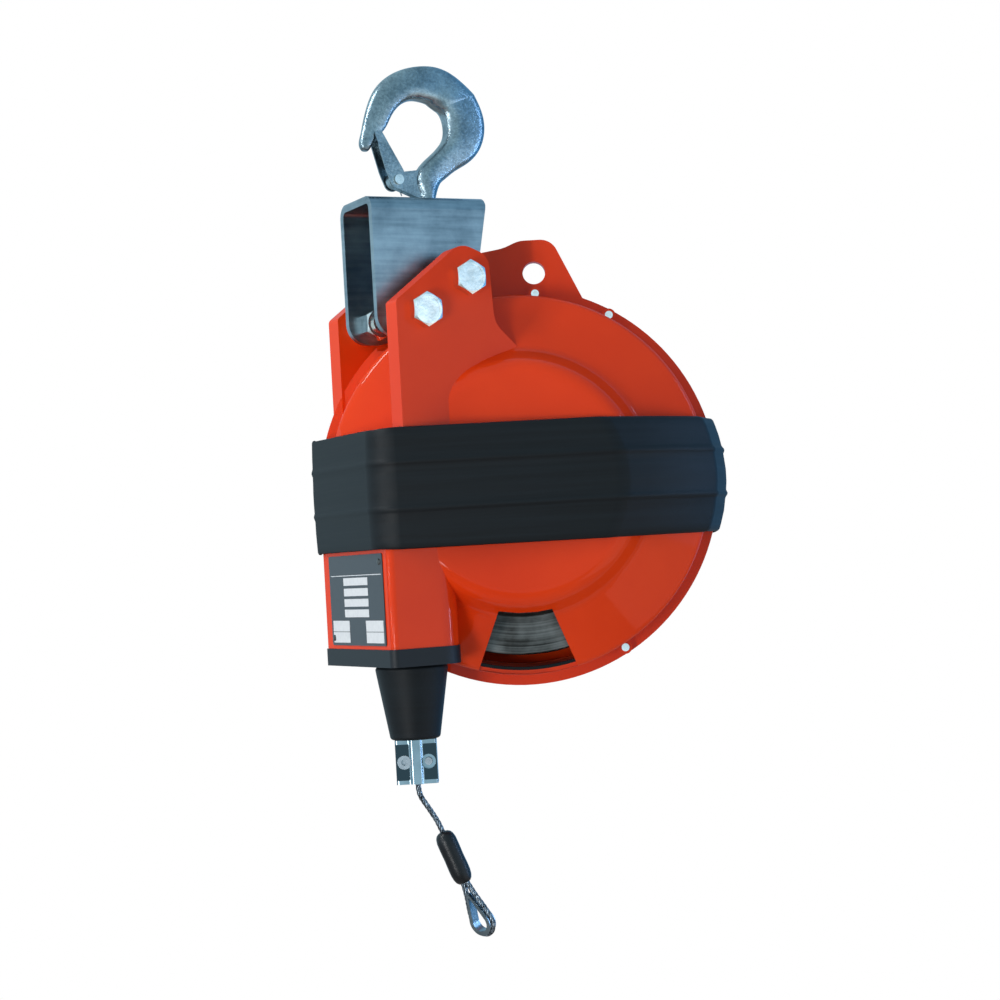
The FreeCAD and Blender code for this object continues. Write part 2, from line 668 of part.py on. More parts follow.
def make_front_cover():
    cover = body("front_cover")
    rim_front = d.parting - d.rim_wall
    turned_on_drum(cover, [[(0, d.parting), (d.rim_radius, d.parting), (d.rim_radius - 1.0, d.shoulder_y, 7.0),
                            (d.boss_foot, d.boss_foot_y, 14.0), (d.boss_radius, d.boss_front, 15.0),
                            (0, d.boss_front)]])
    pad(cover, "XY_Plane", [neck_outline(0.0, True)], plate_top, d.drum_z + 45.0)
    pad(cover, "XZ_Plane", [ear_outline([(23.0, -192.0, 20.0), (58.0, -226.0), (64.0, -290.0)])],
        -d.ear_face, -ear_inside)
    for angle, ring in screw_places():
        x, z = ring * math.sin(math.radians(angle)), ring * math.cos(math.radians(angle))
        pad(cover, "XZ_Plane", [(x, z, 5.5)], rim_front, d.parting, True)
        pad(cover, "XZ_Plane", [(x * 0.965, z * 0.965, 7.5)], rim_front, d.parting, True)
    inner = d.rim_radius - d.wall
    turned_on_drum(cover, [[(0, d.parting + 1.0), (inner, d.parting + 1.0), (inner - 1.0, d.shoulder_y + 4.0, 2.0),
                            (d.boss_foot - 4.0, d.boss_foot_y + d.wall, 8.0),
                            (d.boss_radius - d.wall - 3.0, d.boss_front + d.wall, 10.0),
                            (26.0, d.boss_front + d.wall), (24.0, d.boss_front + 13.0), (0, d.boss_front + 13.0)]],
                   "Groove")
    trim_left(cover)
    pad(cover, "XY_Plane", [[(d.neck_left, d.neck_front + 4.0), (d.neck_left + d.wall - 1.0, d.neck_front + 4.0),
                             (d.neck_left + d.wall - 1.0, on_parting(d.neck_left + d.wall, 0.0)),
                             (d.neck_left, on_parting(d.neck_left, 0.0))]], plate_top, d.drum_z + 45.0)
    left, right, front = d.neck_left + d.wall, d.neck_right - d.wall, d.neck_front + d.wall
    pocket(cover, "XY_Plane", [[(left, front, 4.0), (right, front, 22.0), (right, on_parting(right, 0.5)),
                                (left, on_parting(left, 0.5))]], plate_top - 1.0, d.drum_z + 30.0)
    pocket(cover, "XZ_Plane", [window_outline()], d.boss_foot_y - 14.0, d.shoulder_y + 4.0, True)
    near = ear_inside - d.play
    if near.value < on_parting(d.neck_left, 0.0).value:
        pocket(cover, "XY_Plane", [[(left - d.wall - 1.0, near), (d.ear_left + 12.0, near),
                                    (d.ear_left + 12.0, near + 6.0), (left - d.wall - 1.0, near + 6.0)]],
               -293.0, d.drum_z + 70.0)
    for x, z in bolt_places():
        pocket(cover, "XZ_Plane", [(x, z, bore)], -d.ear_face - 1.0, -ear_inside + 1.0)
    for angle, ring in screw_places():
        x, z = ring * math.sin(math.radians(angle)), ring * math.cos(math.radians(angle))
        pocket(cover, "XZ_Plane", [(x, z, 2.2)], rim_front - 1.0, d.parting + 1.0, True)
    pocket(cover, "XZ_Plane", [(0, 0, d.arbor_radius + d.running)], d.boss_front + 4.0, d.boss_front + 14.0, True)
    return keep(cover)


def make_rear_cover():
    rear = body("rear_cover")
    flange, back = d.flange_radius, flange_back
    turned_on_drum(rear, [[(0, d.parting), (flange, d.parting), (flange, back), (d.rim_radius, back),
                           (d.rim_radius - 3.0, back + 4.0, 3.0), (d.dish_radius + 4.0, back + 12.0, 8.0),
                           (d.dish_radius, d.dish_back, 8.0), (d.gear_box_radius + 1.0, d.dish_back, 4.0),
                           (d.gear_box_radius, d.gear_box_back), (0, d.gear_box_back)]])
    left, right = d.neck_left, d.neck_right
    pad(rear, "XY_Plane", [[(left, on_parting(left, 0.0)), (right, on_parting(right, 0.0)),
                            (right, on_parting(right, d.flange_wall)), (left, on_parting(left, d.flange_wall))]],
        plate_top, d.drum_z + 45.0)
    pad(rear, "XZ_Plane", [ear_outline([(d.high_bolt_x + 22.0, -292.0)])], ear_inside, d.ear_face)
    web_left = drum_to_world(-26.0, d.parting, 0)
    web_right = drum_to_world(-14.0, d.parting, 0)
    pad(rear, "XY_Plane", [[(18.0, ear_inside), (web_left[0], web_left[1]), (web_right[0], web_right[1]),
                            (32.0, d.ear_face - 2.0), (18.0, d.ear_face - 2.0)]], -292.0, d.high_bolt_z + 4.0)
    pad(rear, "XZ_Plane", [[(-42.0, 130.0), (-26.0, 193.5, 10.0), (-2.0, 197.0, 40.0), (11.0, 202.5, 22.0),
                            (38.0, 202.5, 15.0), (62.0, 150.5, 30.0), (80.0, 120.0), (0.0, 100.0)]],
        d.parting, d.parting + d.flange_wall, True)
    pocket(rear, "XZ_Plane", [(d.eye_hole_x, d.eye_hole_z, d.eye_hole_radius)], d.parting - 1.0,
           d.parting + 30.0, True)
    wall = d.wall
    inner = d.rim_radius - 9.0
    turned_on_drum(rear, [[(0, d.parting - 1.0), (inner, d.parting - 1.0), (inner, back - 1.0),
                           (d.dish_radius - wall, back + 7.0), (d.dish_radius - wall, d.dish_back - wall, 6.0),
                           (0, d.dish_back - wall)]],
                   "Groove")
    gear = d.wheel_radius + 6.0
    turned_on_drum(rear, [[(0, d.dish_back), (gear, d.dish_back), (gear, d.gear_box_back + 1.0),
                           (0, d.gear_box_back + 1.0)]], "Groove")
    for degrees in (60, 90, 120, 240, 270, 300):
        along, side = math.radians(degrees), math.radians(degrees + 90)
        corners = []
        for out, half in ((d.gear_box_radius - 2.0, -3.0), (d.dish_radius - 7.0, -2.0), (d.dish_radius - 7.0, 2.0),
                          (d.gear_box_radius - 2.0, 3.0)):
            corners.append((out * math.cos(along) + half * math.cos(side), out * math.sin(along) + half * math.sin(side)))
        pad(rear, "XZ_Plane", [corners], d.dish_back - 1.0, d.dish_back + 4.0, True)
    trim_left(rear)
    low = d.bracket_bottom - 4.0
    pocket(rear, "XZ_Plane", [[(d.bracket_left - 14.0, low), (d.low_bolt_x + 10.0, low),
                               (d.bracket_right + 3.0, d.high_bolt_z - 10.0), (d.bracket_right + 3.0, -100.0),
                               (d.bracket_left - 14.0, -100.0)]], -leg_face, leg_face + 4.0)
    tall = d.worm_length / 2
    slot = d.worm_radius + 1.0
    pad(rear, "XZ_Plane", [[(worm_x - slot - 4.0, -62.0, 3.0), (worm_x + slot + 4.0, -62.0, 4.0),
                            (worm_x + slot + 4.0, tall + 12.0, 4.0), (worm_x - slot - 4.0, tall + 12.0, 3.0)]],
        d.dish_back - 2.0, d.gear_box_back, True)
    pocket(rear, "XZ_Plane", [[(gear - 8.0, -tall - 1.0), (worm_x + slot, -tall - 1.0),
                               (worm_x + slot, tall + 1.0), (gear - 8.0, tall + 1.0)]],
           d.dish_back, d.gear_box_back + 1.0, True)
    turned_on_drum(rear, [[(0, d.dish_back), (gear, d.dish_back), (gear, d.gear_box_back + 1.0),
                           (0, d.gear_box_back + 1.0)]], "Groove")
    spindle = sketched(rear, "XY_Plane", [(worm_x, gear_y, d.spindle_radius + d.running)], -63.0, True)
    hole = rear.newObject("PartDesign::Pocket", "spindle_bore")
    hole.Profile = spindle
    hole.Reversed = True
    bind(hole, "Length", 63.0 + tall + 8.0)
    pocket(rear, "XZ_Plane", [(0, 0, d.arbor_radius + d.running)], d.dish_back - wall - 1.0, d.dish_back + 1.0, True)
    for degrees in (45, 135, 225, 315):
        x, z = 43.0 * math.cos(math.radians(degrees)), 43.0 * math.sin(math.radians(degrees))
        pocket(rear, "XZ_Plane", [(x, z, 1.95)], d.gear_box_back - 8.0, d.gear_box_back + 1.0, True)
    for x, z in bolt_places():
        pocket(rear, "XZ_Plane", [(x, z, bore)], ear_inside - 1.0, d.ear_face + 1.0)
    for angle, ring in screw_places():
        x, z = ring * math.sin(math.radians(angle)), ring * math.cos(math.radians(angle))
        pocket(rear, "XZ_Plane", [(x, z, 2.0)], d.parting - 1.0, d.parting + 8.0, True)
    return keep(rear)



def screw(label, radius, length, head_radius, head, sunk=False):
    """Socket screw along Z: its head's seat at zero, the shank below."""
    made = body(label)
    if sunk:
        turned_upright(made, [[(0, 0), (head_radius, 0), (radius, radius - head_radius), (radius, -length),
                               (0, -length)]])
        depth = head_radius * 0.45
        pocket(made, "XY_Plane", [hex_outline(as_size(radius) * 1.2)], -depth, 0.5)
    else:
        turned_upright(made, [[(0, head), (head_radius, head), (head_radius, 0), (radius, 0),
                               (radius, -length), (0, -length)]])
        pocket(made, "XY_Plane", [hex_outline(as_size(radius) * 1.6)], as_size(head) * 0.4, as_size(head) + 0.5)
    return made


def make_cover_screws():
    screws = []
    for angle, ring in screw_places():
        x, z = ring * math.sin(math.radians(angle)), ring * math.cos(math.radians(angle))
        made = screw("cover_screw_%d" % angle, 1.95, 14.0, 3.2, 2.4)
        screws.append(place(made, drum_to_world(x, d.parting - d.rim_wall, z), drum_front))
    together("cover_screws", screws)


# Rope drum on its arbor, power spring and tension gear --------------------------------------------


def drum_line(y):
    """Distance from the axis of the line through the rope's turns, at a place along the axis."""
    return d.drum_small + (y - d.drum_small_y) * cone_slope


def make_drum():
    drum = body("rope_drum")
    front, flange_y = d.drum_small_y - 6.0, d.drum_flange_y
    lip = front - 4.0
    back = flange_y + d.drum_flange_wall
    hub = d.bearing_radius
    nose = lip - 7.0
    skin = 0.7
    tail = d.spring_front - 2.0
    turned_on_drum(drum, [[(hub, nose), (d.hub_radius, nose), (d.hub_radius, lip, 4.0),
                           (drum_line(front) + 3.5, lip, 1.5), (drum_line(front) + 3.5, front, 1.0),
                           (drum_line(front) - skin, front), (drum_line(flange_y) - skin, flange_y),
                           (d.drum_flange, flange_y, 1.5), (d.drum_flange, back, 1.5), (d.cup_radius, back, 2.0),
                           (d.cup_radius, d.cup_back), (d.cup_radius - d.cup_wall, d.cup_back),
                           (d.cup_radius - d.cup_wall, back - 10.0, 3.0), (drum_line(front) - 12.0, lip + 7.0, 6.0),
                           (d.hub_radius, lip + 7.0, 4.0), (d.hub_radius, tail), (hub, tail)]])
    for turn in range(int(d.groove_count.value)):
        y = d.drum_small_y + d.groove_step * turn
        turned_on_drum(drum, [(drum_line(y), y, d.rope_radius + 0.15)], "Groove")
    for hole in range(6):
        angle = math.radians(60 * hole)
        pocket(drum, "XZ_Plane", [(56.0 * math.cos(angle), 56.0 * math.sin(angle), 13.0)], lip - 1.0,
               lip + 9.0, True)
    keep(drum)
    turns = []
    for turn in range(int(d.groove_count.value)):
        ring = body("rope_turn_%d" % (turn + 1))
        y = d.drum_small_y + d.groove_step * turn
        # The last turn ends where the rope leaves the drum on the neck's side.
        circle = (-drum_line(y), y, d.rope_radius)
        spin(ring, "Revolution", [circle], "XY_Plane", True, 335.0 if turn == 0 else 360.0)
        turns.append(ring)
    together("wound_rope", turns)
    lid = body("spring_cover")
    inner = d.arbor_radius + 12.0
    turned_on_drum(lid, [[(inner, d.cup_back), (d.cup_radius, d.cup_back), (d.cup_radius, d.cup_back + 2.5),
                          (inner, d.cup_back + 2.5)]])
    keep(lid)
    bearings = []
    for place_y in (nose, tail - d.bearing_width):
        ring = body("bearing_%d" % (len(bearings) + 1))
        turned_on_drum(ring, [[(d.arbor_radius + d.running, place_y), (hub, place_y),
                               (hub, place_y + d.bearing_width),
                               (d.arbor_radius + d.running, place_y + d.bearing_width)]])
        bearings.append(ring)
    together("drum_bearings", bearings)


def make_arbor():
    """Fixed spindle that the drum turns on; the worm wheel at its back holds it against the spring."""
    arbor = body("arbor")
    shaft = d.arbor_radius
    turned_on_drum(arbor, [[(0, d.boss_front + 5.0), (shaft - 1.0, d.boss_front + 5.0),
                            (shaft, d.boss_front + 6.0), (shaft, gear_y + d.wheel_width / 2 + 2.0),
                            (0, gear_y + d.wheel_width / 2 + 2.0)]])
    keep(arbor)
    core = body("spring_core")
    low, high = d.spring_front, d.spring_front + d.spring_width
    turned_on_drum(core, [[(shaft, low), (d.spring_inner - 0.2, low), (d.spring_inner - 0.2, high), (shaft, high)]])
    pocket(core, "XZ_Plane", [[(-2.0, d.spring_inner - 8.0), (2.0, d.spring_inner - 8.0),
                               (2.0, d.spring_inner + 1.0), (-2.0, d.spring_inner + 1.0)]], low - 1.0, high + 1.0, True)
    keep(core)
    wheel = body("worm_wheel")
    low, high = gear_y - d.wheel_width / 2, gear_y + d.wheel_width / 2
    turned_on_drum(wheel, [[(shaft, low), (d.wheel_radius - 2.4, low), (d.wheel_radius - 2.4, high), (shaft, high)]])
    keep(wheel)
    worm = body("tension_worm")
    tall = d.worm_length / 2
    turned_upright(worm, [[(0, -60.0), (4.2, -60.0), (d.spindle_radius, -59.0), (d.spindle_radius, -tall),
                           (d.worm_radius, -tall), (d.worm_radius, tall), (d.spindle_radius, tall),
                           (d.spindle_radius, tall + 7.5), (0, tall + 7.5)]])
    pocket(worm, "XY_Plane", [hex_outline(5.0)], -60.5, -52.0)
    place(worm, drum_to_world(worm_x, gear_y, 0.0), drum_spin)
    keep(worm)
    cover = body("gear_cover")
    back, face = d.gear_box_back, gear_cover_back
    ends = d.gear_box_radius
    turned_on_drum(cover, [[(0, back), (ends, back), (ends, face, 2.0), (0, face)]])
    pad(cover, "XZ_Plane", [[(worm_x - 12.0, -30.0, 4.0), (worm_x + 13.0, -30.0, 4.0), (worm_x + 13.0, 25.0, 4.0),
                             (worm_x - 12.0, 25.0, 4.0)]], back, face - 1.0, True)
    screws = []
    for degrees in (45, 135, 225, 315):
        x, z = 43.0 * math.cos(math.radians(degrees)), 43.0 * math.sin(math.radians(degrees))
        pocket(cover, "XZ_Plane", [(x, z, 2.3)], back - 1.0, face + 1.0, True)
        pocket(cover, "XZ_Plane", [(x, z, 4.0)], face - 2.6, face + 1.0, True)
        made = screw("gear_cover_screw_%d" % degrees, 1.95, 9.0, 3.6, 2.4)
        screws.append(place(made, drum_to_world(x, face - 2.6, z), drum_rear))
    keep(cover)
    together("gear_cover_screws", screws)


def make_power_spring():
    """Flat spiral spring drawn as half circles that step outward, inside the drum's cup."""
    sheet_wall, pitch = d.spring_sheet.value, d.spring_pitch.value
    inner_start = d.spring_inner.value + 0.2
    halves = int(round(d.spring_turns.value * 2))

    def side(extra):
        edges = []
        centre, radius = 0.0, inner_start + extra
        for half in range(halves):
            sign = 1 if half % 2 == 0 else -1
            first = Vector(centre + sign * radius, 0, 0)
            top = Vector(centre, sign * radius, 0)
            last = Vector(centre - sign * radius, 0, 0)
            edges.append(Part.Arc(first, top, last).toShape())
            centre += sign * pitch / 2
            radius += pitch / 2
        return edges

    inner, outer = side(0.0), side(sheet_wall)
    first = Part.LineSegment(inner[0].Vertexes[0].Point, outer[0].Vertexes[0].Point).toShape()
    last = Part.LineSegment(inner[-1].Vertexes[-1].Point, outer[-1].Vertexes[-1].Point).toShape()
    wire = Part.Wire(Part.__sortEdges__(inner + [last] + outer + [first]))
    strip = Part.Face(wire).extrude(Vector(0, 0, d.spring_width.value))
    spring = doc.addObject("Part::Feature", "power_spring")
    spring.Shape = strip
    along = drum_centre + drum_back * d.spring_front.value
    spring.Placement = FreeCAD.Placement(along, drum_rear)
    return keep(spring)


# Neck: outlet plate, guide bush, data plate -------------------------------------------------------


def make_outlet():
    plate = body("outlet_plate")
    grow = -1.0
    pad(plate, "XY_Plane", [neck_outline(grow, False)], plate_bottom, plate_top)
    if plate_top.value > (d.drum_z - d.rim_radius).value:
        turned_on_drum(plate, [[(0, d.parting - 1.0), (d.rim_radius + d.play, d.parting - 1.0),
                                (d.rim_radius + d.play, d.shoulder_y - 2.0), (d.boss_foot, d.boss_foot_y - 2.0),
                                (0, d.boss_foot_y - 2.0)]], "Groove")
        turned_on_drum(plate, [[(0, flange_back + 1.0), (d.flange_radius + d.play, flange_back + 1.0),
                                (d.flange_radius + d.play, d.parting - 1.0), (0, d.parting - 1.0)]], "Groove")
    bush_hole = 11.0
    pocket(plate, "XY_Plane", [(rope_x, rope_y, bush_hole)], plate_bottom - 1.0, plate_top + 1.0)
    spots = [(d.neck_left + 10.0, d.neck_front + 12.0), (d.neck_right - 14.0, d.neck_front + 18.0),
             (d.neck_left + 10.0, on_parting(d.neck_left + 10.0, 0.0) - 8.0),
             (d.neck_right - 9.0, on_parting(d.neck_right - 9.0, 0.0) - 9.0)]
    screws = []
    for x, y in spots:
        pocket(plate, "XY_Plane", [(x, y, 3.2)], plate_bottom - 1.0, plate_top + 1.0)
        pocket(plate, "XY_Plane", [(x, y, 5.2)], plate_bottom - 1.0, plate_bottom + 5.2)
        made = screw("outlet_screw_%d" % len(screws), 2.9, 22.0, 4.9, 4.8)
        screws.append(place(made, (x, y, plate_bottom + 5.2), Rotation(Vector(1, 0, 0), 180)))
    keep(plate)
    together("outlet_screws", screws)
    bush = body("guide_bush")
    clear = d.rope_radius + 1.2
    low, high = plate_bottom + 0.5, plate_top + 6.0
    turned_upright(bush, [[(clear + 2.0, low), (bush_hole, low), (bush_hole, plate_top), (bush_hole + 3.0, plate_top),
                           (bush_hole + 3.0, plate_top + 4.0), (clear + 3.0, high), (clear, high - 5.0, 3.0),
                           (clear, low + 5.0, 3.0)]])
    place(bush, (rope_x, rope_y, 0.0))
    keep(bush)


def make_data_plate():
    plate = body("data_plate")
    low, high = d.neck_bottom + 3.0, d.neck_bottom + 75.5
    near, far = d.neck_front + 10.5, d.neck_front + 119.0
    pad(plate, "YZ_Plane", [[(near, low, 2.0), (far, low, 2.0), (far, high, 2.0), (near, high, 2.0)]],
        d.neck_left - 0.8, d.neck_left)
    keep(plate)
    rivets = []
    for y, z in ((near + 6.0, high - 6.5), (far - 5.0, low + 6.0)):
        rivet = body("rivet_%d" % (len(rivets) + 1))
        turned_upright(rivet, [[(0, 0), (2.6, 0), (2.2, 0.9), (0, 1.4)]])
        rivets.append(place(rivet, (d.neck_left - 0.8, y, z), Rotation(Vector(0, 1, 0), -90)))
    together("plate_rivets", rivets)


# Rubber belt round the housing --------------------------------------------------------------------


def belt_corners():
    """Corners of the housing at belt height that a taut loop round it touches, with its bend at each."""
    flange, back = d.flange_radius + d.play, flange_back + 1.0
    boss, shoulder = d.boss_radius, d.rim_radius - 1.0
    face = gear_cover_back + d.play
    around = [(boss, d.boss_front - d.play, 16.0), (shoulder, d.shoulder_y, 8.0), (flange, d.parting - 1.0, 5.0),
              (flange, back, 5.0), (d.dish_radius + d.play, d.dish_back, 9.0), (worm_x + 14.0, face, 3.0),
              (-d.gear_box_radius, face, 6.0), (-d.dish_radius, d.dish_back + d.play, 9.0)]
    corners = [drum_to_world(x, y, 0)[:2] + (bend,) for x, y, bend in around]
    corners.append((d.neck_left - d.play, on_parting(d.neck_left, d.flange_wall) + 3.0, 1.5))
    corners.append((d.neck_left - d.play, d.neck_front - 2.5, 7.0))
    hull = []
    for _ in range(2):
        for corner in corners:
            while len(hull) > 1 and turn_between(hull[-2], hull[-1], corner) <= 0.03:
                hull.pop()
            if not hull or corner is not hull[0]:
                hull.append(corner)
            else:
                break
    return hull


def turn_between(first, second, third):
    """Sine of the turn at the middle one of three corners, positive to the left."""
    points = [Vector(as_size(c[0]).value, as_size(c[1]).value, 0) for c in (first, second, third)]
    back = (points[1] - points[0]).normalize()
    ahead = (points[2] - points[1]).normalize()
    return back.cross(ahead).z


def belt_outline(out):
    """Taut loop round the widest section of the housing, pushed out by one distance."""
    corners = belt_corners()
    points = [Vector(as_size(c[0]).value, as_size(c[1]).value, 0) for c in corners]
    outline = []
    count = len(points)
    for i, (x, y, bend) in enumerate(corners):
        back = (points[i] - points[i - 1]).normalize()
        ahead = (points[(i + 1) % count] - points[i]).normalize()
        normal_back = Vector(back.y, -back.x, 0)
        middle = (normal_back + Vector(ahead.y, -ahead.x, 0)).normalize()
        reach = 1 / middle.dot(normal_back)
        outline.append((x + as_size(out) * (middle.x * reach), y + as_size(out) * (middle.y * reach),
                        bend + as_size(out)))
    return outline


def make_belt():
    belt = body("rubber_belt")
    low, high = d.drum_z - d.belt_half, d.drum_z + d.belt_half
    inside = belt_outline(0.0)
    edge = 9.0
    pad(belt, "XY_Plane", [belt_outline(d.belt_wall), inside], low + edge, high - edge)
    for start, end in ((low, low + edge), (high - edge, high)):
        pad(belt, "XY_Plane", [belt_outline(d.belt_wall - 1.8), inside], start, end)
    for middle in (20.0, -16.0):
        pad(belt, "XY_Plane", [belt_outline(d.belt_wall + d.belt_rib), belt_outline(d.belt_wall - 1.0)],
            d.drum_z + middle - 2.0, d.drum_z + middle + 2.0)
    return keep(belt)


# Rope end: buffer, clamp, tail, sleeve and thimble eye ---------------------------------------------


def rope_spot(x, y, z):
    return (rope_x + x, rope_y + y, z)


def make_rope_run():
    rope = body("rope_run")
    pad(rope, "XY_Plane", [(rope_x, rope_y, d.rope_radius)], clamp_bottom, d.drum_z)
    return keep(rope)


def make_buffer():
    buffer = body("rope_buffer")
    turned_upright(buffer, [[(d.rope_radius + 0.2, buffer_top_z), (d.buffer_top, buffer_top_z, 3.0),
                             (d.buffer_top - 1.6, buffer_top_z - 10.0, 30.0), (d.buffer_bottom, buffer_bottom_z, 3.0),
                             (d.rope_radius + 0.2, buffer_bottom_z)]])
    place(buffer, rope_spot(0, 0, 0))
    keep(buffer)


def make_clamp():
    """Two pressed halves bolted round the rope, each with a ribbed channel down its middle."""
    wide, half = d.clamp_width / 2, d.clamp_half
    gap = 0.6
    for side, label in ((-1, "clamp_front"), (1, "clamp_back")):
        piece = body(label)
        outline = [(-wide, gap), (wide, gap), (wide, half, 2.0), (5.2, half, 2.0), (3.6, half + 2.2, 2.0),
                   (-3.6, half + 2.2, 2.0), (-5.2, half, 2.0), (-wide, half, 2.0)]
        pad(piece, "XY_Plane", [outline], clamp_bottom, clamp_top)
        pocket(piece, "XY_Plane", [(0, 0, d.rope_radius)], clamp_bottom - 1.0, clamp_top + 1.0)
        middle = (clamp_top + clamp_bottom) / 2
        lip, sunk = 3.2, 1.3
        for x in (-1, 1):
            pocket(piece, "XZ_Plane", [[(x * 5.6, clamp_bottom + lip, 1.0), (x * (wide + 3.0), clamp_bottom + lip),
                                        (x * (wide + 3.0), clamp_top - lip), (x * 5.6, clamp_top - lip, 1.0)]],
                   half - sunk, half + 1.0)
        for x in (-9.6, 9.6):
            pocket(piece, "XZ_Plane", [(x, middle, d.clamp_screw_radius + 0.2)], 0.0, half + 1.0)
            pocket(piece, "XZ_Plane", [(x, middle, 5.8)], half - 5.0, half + 1.0)
        turn = drum_spin if side > 0 else drum_spin.multiply(Rotation(Vector(0, 0, 1), 180))
        keep(place(piece, rope_spot(0, 0, 0), turn))
    screws = []
    middle = (clamp_top + clamp_bottom) / 2
    for x, facing in ((-9.6, facing_front), (9.6, facing_back)):
        made = screw("clamp_screw_%d" % (len(screws) + 1), d.clamp_screw_radius, d.clamp_half * 2 - 6.5, 5.5, 5.0)
        side = -1 if x < 0 else 1
        seat = side * (d.clamp_half - 5.0)
        spot = rope_spot(x * turn_cos + seat * turn_sin, seat * turn_cos - x * turn_sin, middle)
        screws.append(place(made, spot, drum_spin.multiply(facing)))
    together("clamp_screws", screws)


def tail_points():
    """Route of the free tail: down from the clamp, then a lazy bend to the front and right."""
    drops = [(0.0, 0.0), (0.0, -5.5), (1.7, -11.5), (5.9, -18.0), (10.4, -25.4), (14.3, -32.2), (17.2, -39.8)]
    return [Vector(rope_x.value + across * turn_cos.value, rope_y.value - across * turn_sin.value,
                   clamp_bottom.value + drop) for across, drop in drops]


def rounded_path(points):
    """Straight runs joined by tangent arcs as large as the shorter run beside each point allows."""
    edges, start = [], points[0]
    for before, here, after in zip(points, points[1:], points[2:]):
        back, ahead = (before - here), (after - here)
        half_turn = (math.pi - back.getAngle(ahead)) / 2
        cut = 0.45 * min(back.Length, ahead.Length)
        radius = cut / math.tan(half_turn)
        first, last, centre = corner_points(before, here, after, radius)
        middle = centre + (here - centre).normalize() * radius
        edges.append(Part.LineSegment(start, first).toShape())
        edges.append(Part.Arc(first, middle, last).toShape())
        print("rope bend radius %.1f" % radius)
        start = last
    edges.append(Part.LineSegment(start, points[-1]).toShape())
    return Part.Wire(edges)


def tube_along(label, path, radius):
    first = path.Edges[0]
    start = first.valueAt(first.FirstParameter)
    along = first.tangentAt(first.FirstParameter)
    ring = Part.Wire(Part.makeCircle(radius, start, along))
    tube = path.makePipeShell([ring], True, False)
    print("%s volume %.1f, section times length %.1f"
          % (label, tube.Volume, math.pi * radius ** 2 * path.Length))
    made = doc.addObject("Part::Feature", label)
    made.Shape = tube
    return keep(made)


def make_rope_end():
    points = tail_points()
    tube_along("rope_tail", rounded_path(points), d.rope_radius.value)
    end = points[-1]
    along = (points[-1] - points[-2]).normalize()
    lean = Rotation(Vector(0, 0, -1), along)
    sleeve = body("ferrule")
    long, wide = d.sleeve_length, d.sleeve_radius
    turned_upright(sleeve, [[(0, 0), (wide, 0, 3.5), (wide, -long, 5.0), (0, -long)]])
    sleeve.Placement = FreeCAD.Placement(end, lean)
    keep(sleeve)
    foot = end + along * long.value
    twist = lean.multiply(Rotation(Vector(0, 0, 1), d.thimble_twist.value))
    reach, half = d.thimble_length.value, d.thimble_width.value / 2
    wire = d.rope_radius.value
    ring = half - wire
    low = half - reach
    eye = doc.addObject("Part::Feature", "rope_eye")
    path = drop_outline(ring, low, wire + 0.05, 0.0)
    first = path.Edges[0]
    start_ring = Part.Wire(Part.makeCircle(wire, first.valueAt(first.FirstParameter),
                                           first.tangentAt(first.FirstParameter)))
    loop = path.makePipeShell([start_ring], True, True)
    cap = Part.makeBox(40, 40, 20, Vector(-20, -20, 0))
    eye.Shape = loop.cut(cap)
    eye.Placement = FreeCAD.Placement(foot, twist)
    keep(eye)
    gauge, gap = d.thimble_sheet.value, 0.25
    groove = wire + gap
    shapes = []
    for outer, inner, start, end_at in ((ring - wire - gap, ring - wire - gap - gauge, -groove - gauge, groove + gauge),
                                        (ring - 0.2, ring - wire - gap - gauge, -groove - gauge, -groove),
                                        (ring - 0.2, ring - wire - gap - gauge, groove, groove + gauge)):
        rim = closed_drop(outer, low, -9.5 + (outer - inner) * 0.5)
        hole = closed_drop(inner, low, -12.5)
        plate = Part.Face(rim).extrude(Vector(0, end_at - start, 0))
        plate.translate(Vector(0, start, 0))
        cut = Part.Face(hole).extrude(Vector(0, end_at - start + 2, 0))
        cut.translate(Vector(0, start - 1, 0))
        shapes.append(plate.cut(cut))
    band = shapes[0].fuse(shapes[1:]).removeSplitter()
    thimble = doc.addObject("Part::Feature", "thimble")
    thimble.Shape = band
    thimble.Placement = FreeCAD.Placement(foot, twist)
    keep(thimble)


def drop_outline(ring, low, top_half, top):
    """Open drop-shaped line from one top point, tangent round the bottom circle, to the other."""
    centre = Vector(0, 0, low)
    tilt = math.atan2(ring - top_half, top - low)
    right = Vector(ring * math.cos(tilt), 0, low + ring * math.sin(tilt))
    left = Vector(-right.x, 0, right.z)
    return Part.Wire([
        Part.LineSegment(Vector(top_half, 0, top), right).toShape(),
        Part.Arc(right, centre + Vector(0, 0, -ring), left).toShape(),
        Part.LineSegment(left, Vector(-top_half, 0, top)).toShape(),
    ])


def closed_drop(ring, low, top):
    """The same drop closed across a narrow top."""
    narrow = 0.6
    line = drop_outline(ring, low, narrow, top)
    lid = Part.LineSegment(Vector(-narrow, 0, top), Vector(narrow, 0, top)).toShape()
    return Part.Wire(line.Edges + [lid])


for build in (make_hook, make_hook_nut, make_latch, make_latch_spring, make_bracket, make_bolts,
              make_front_cover, make_rear_cover, make_cover_screws, make_drum, make_arbor, make_power_spring,
              make_outlet, make_data_plate, make_belt, make_rope_run, make_buffer, make_clamp, make_rope_end):
    build()

# Check and write ----------------------------------------------------------------------------------

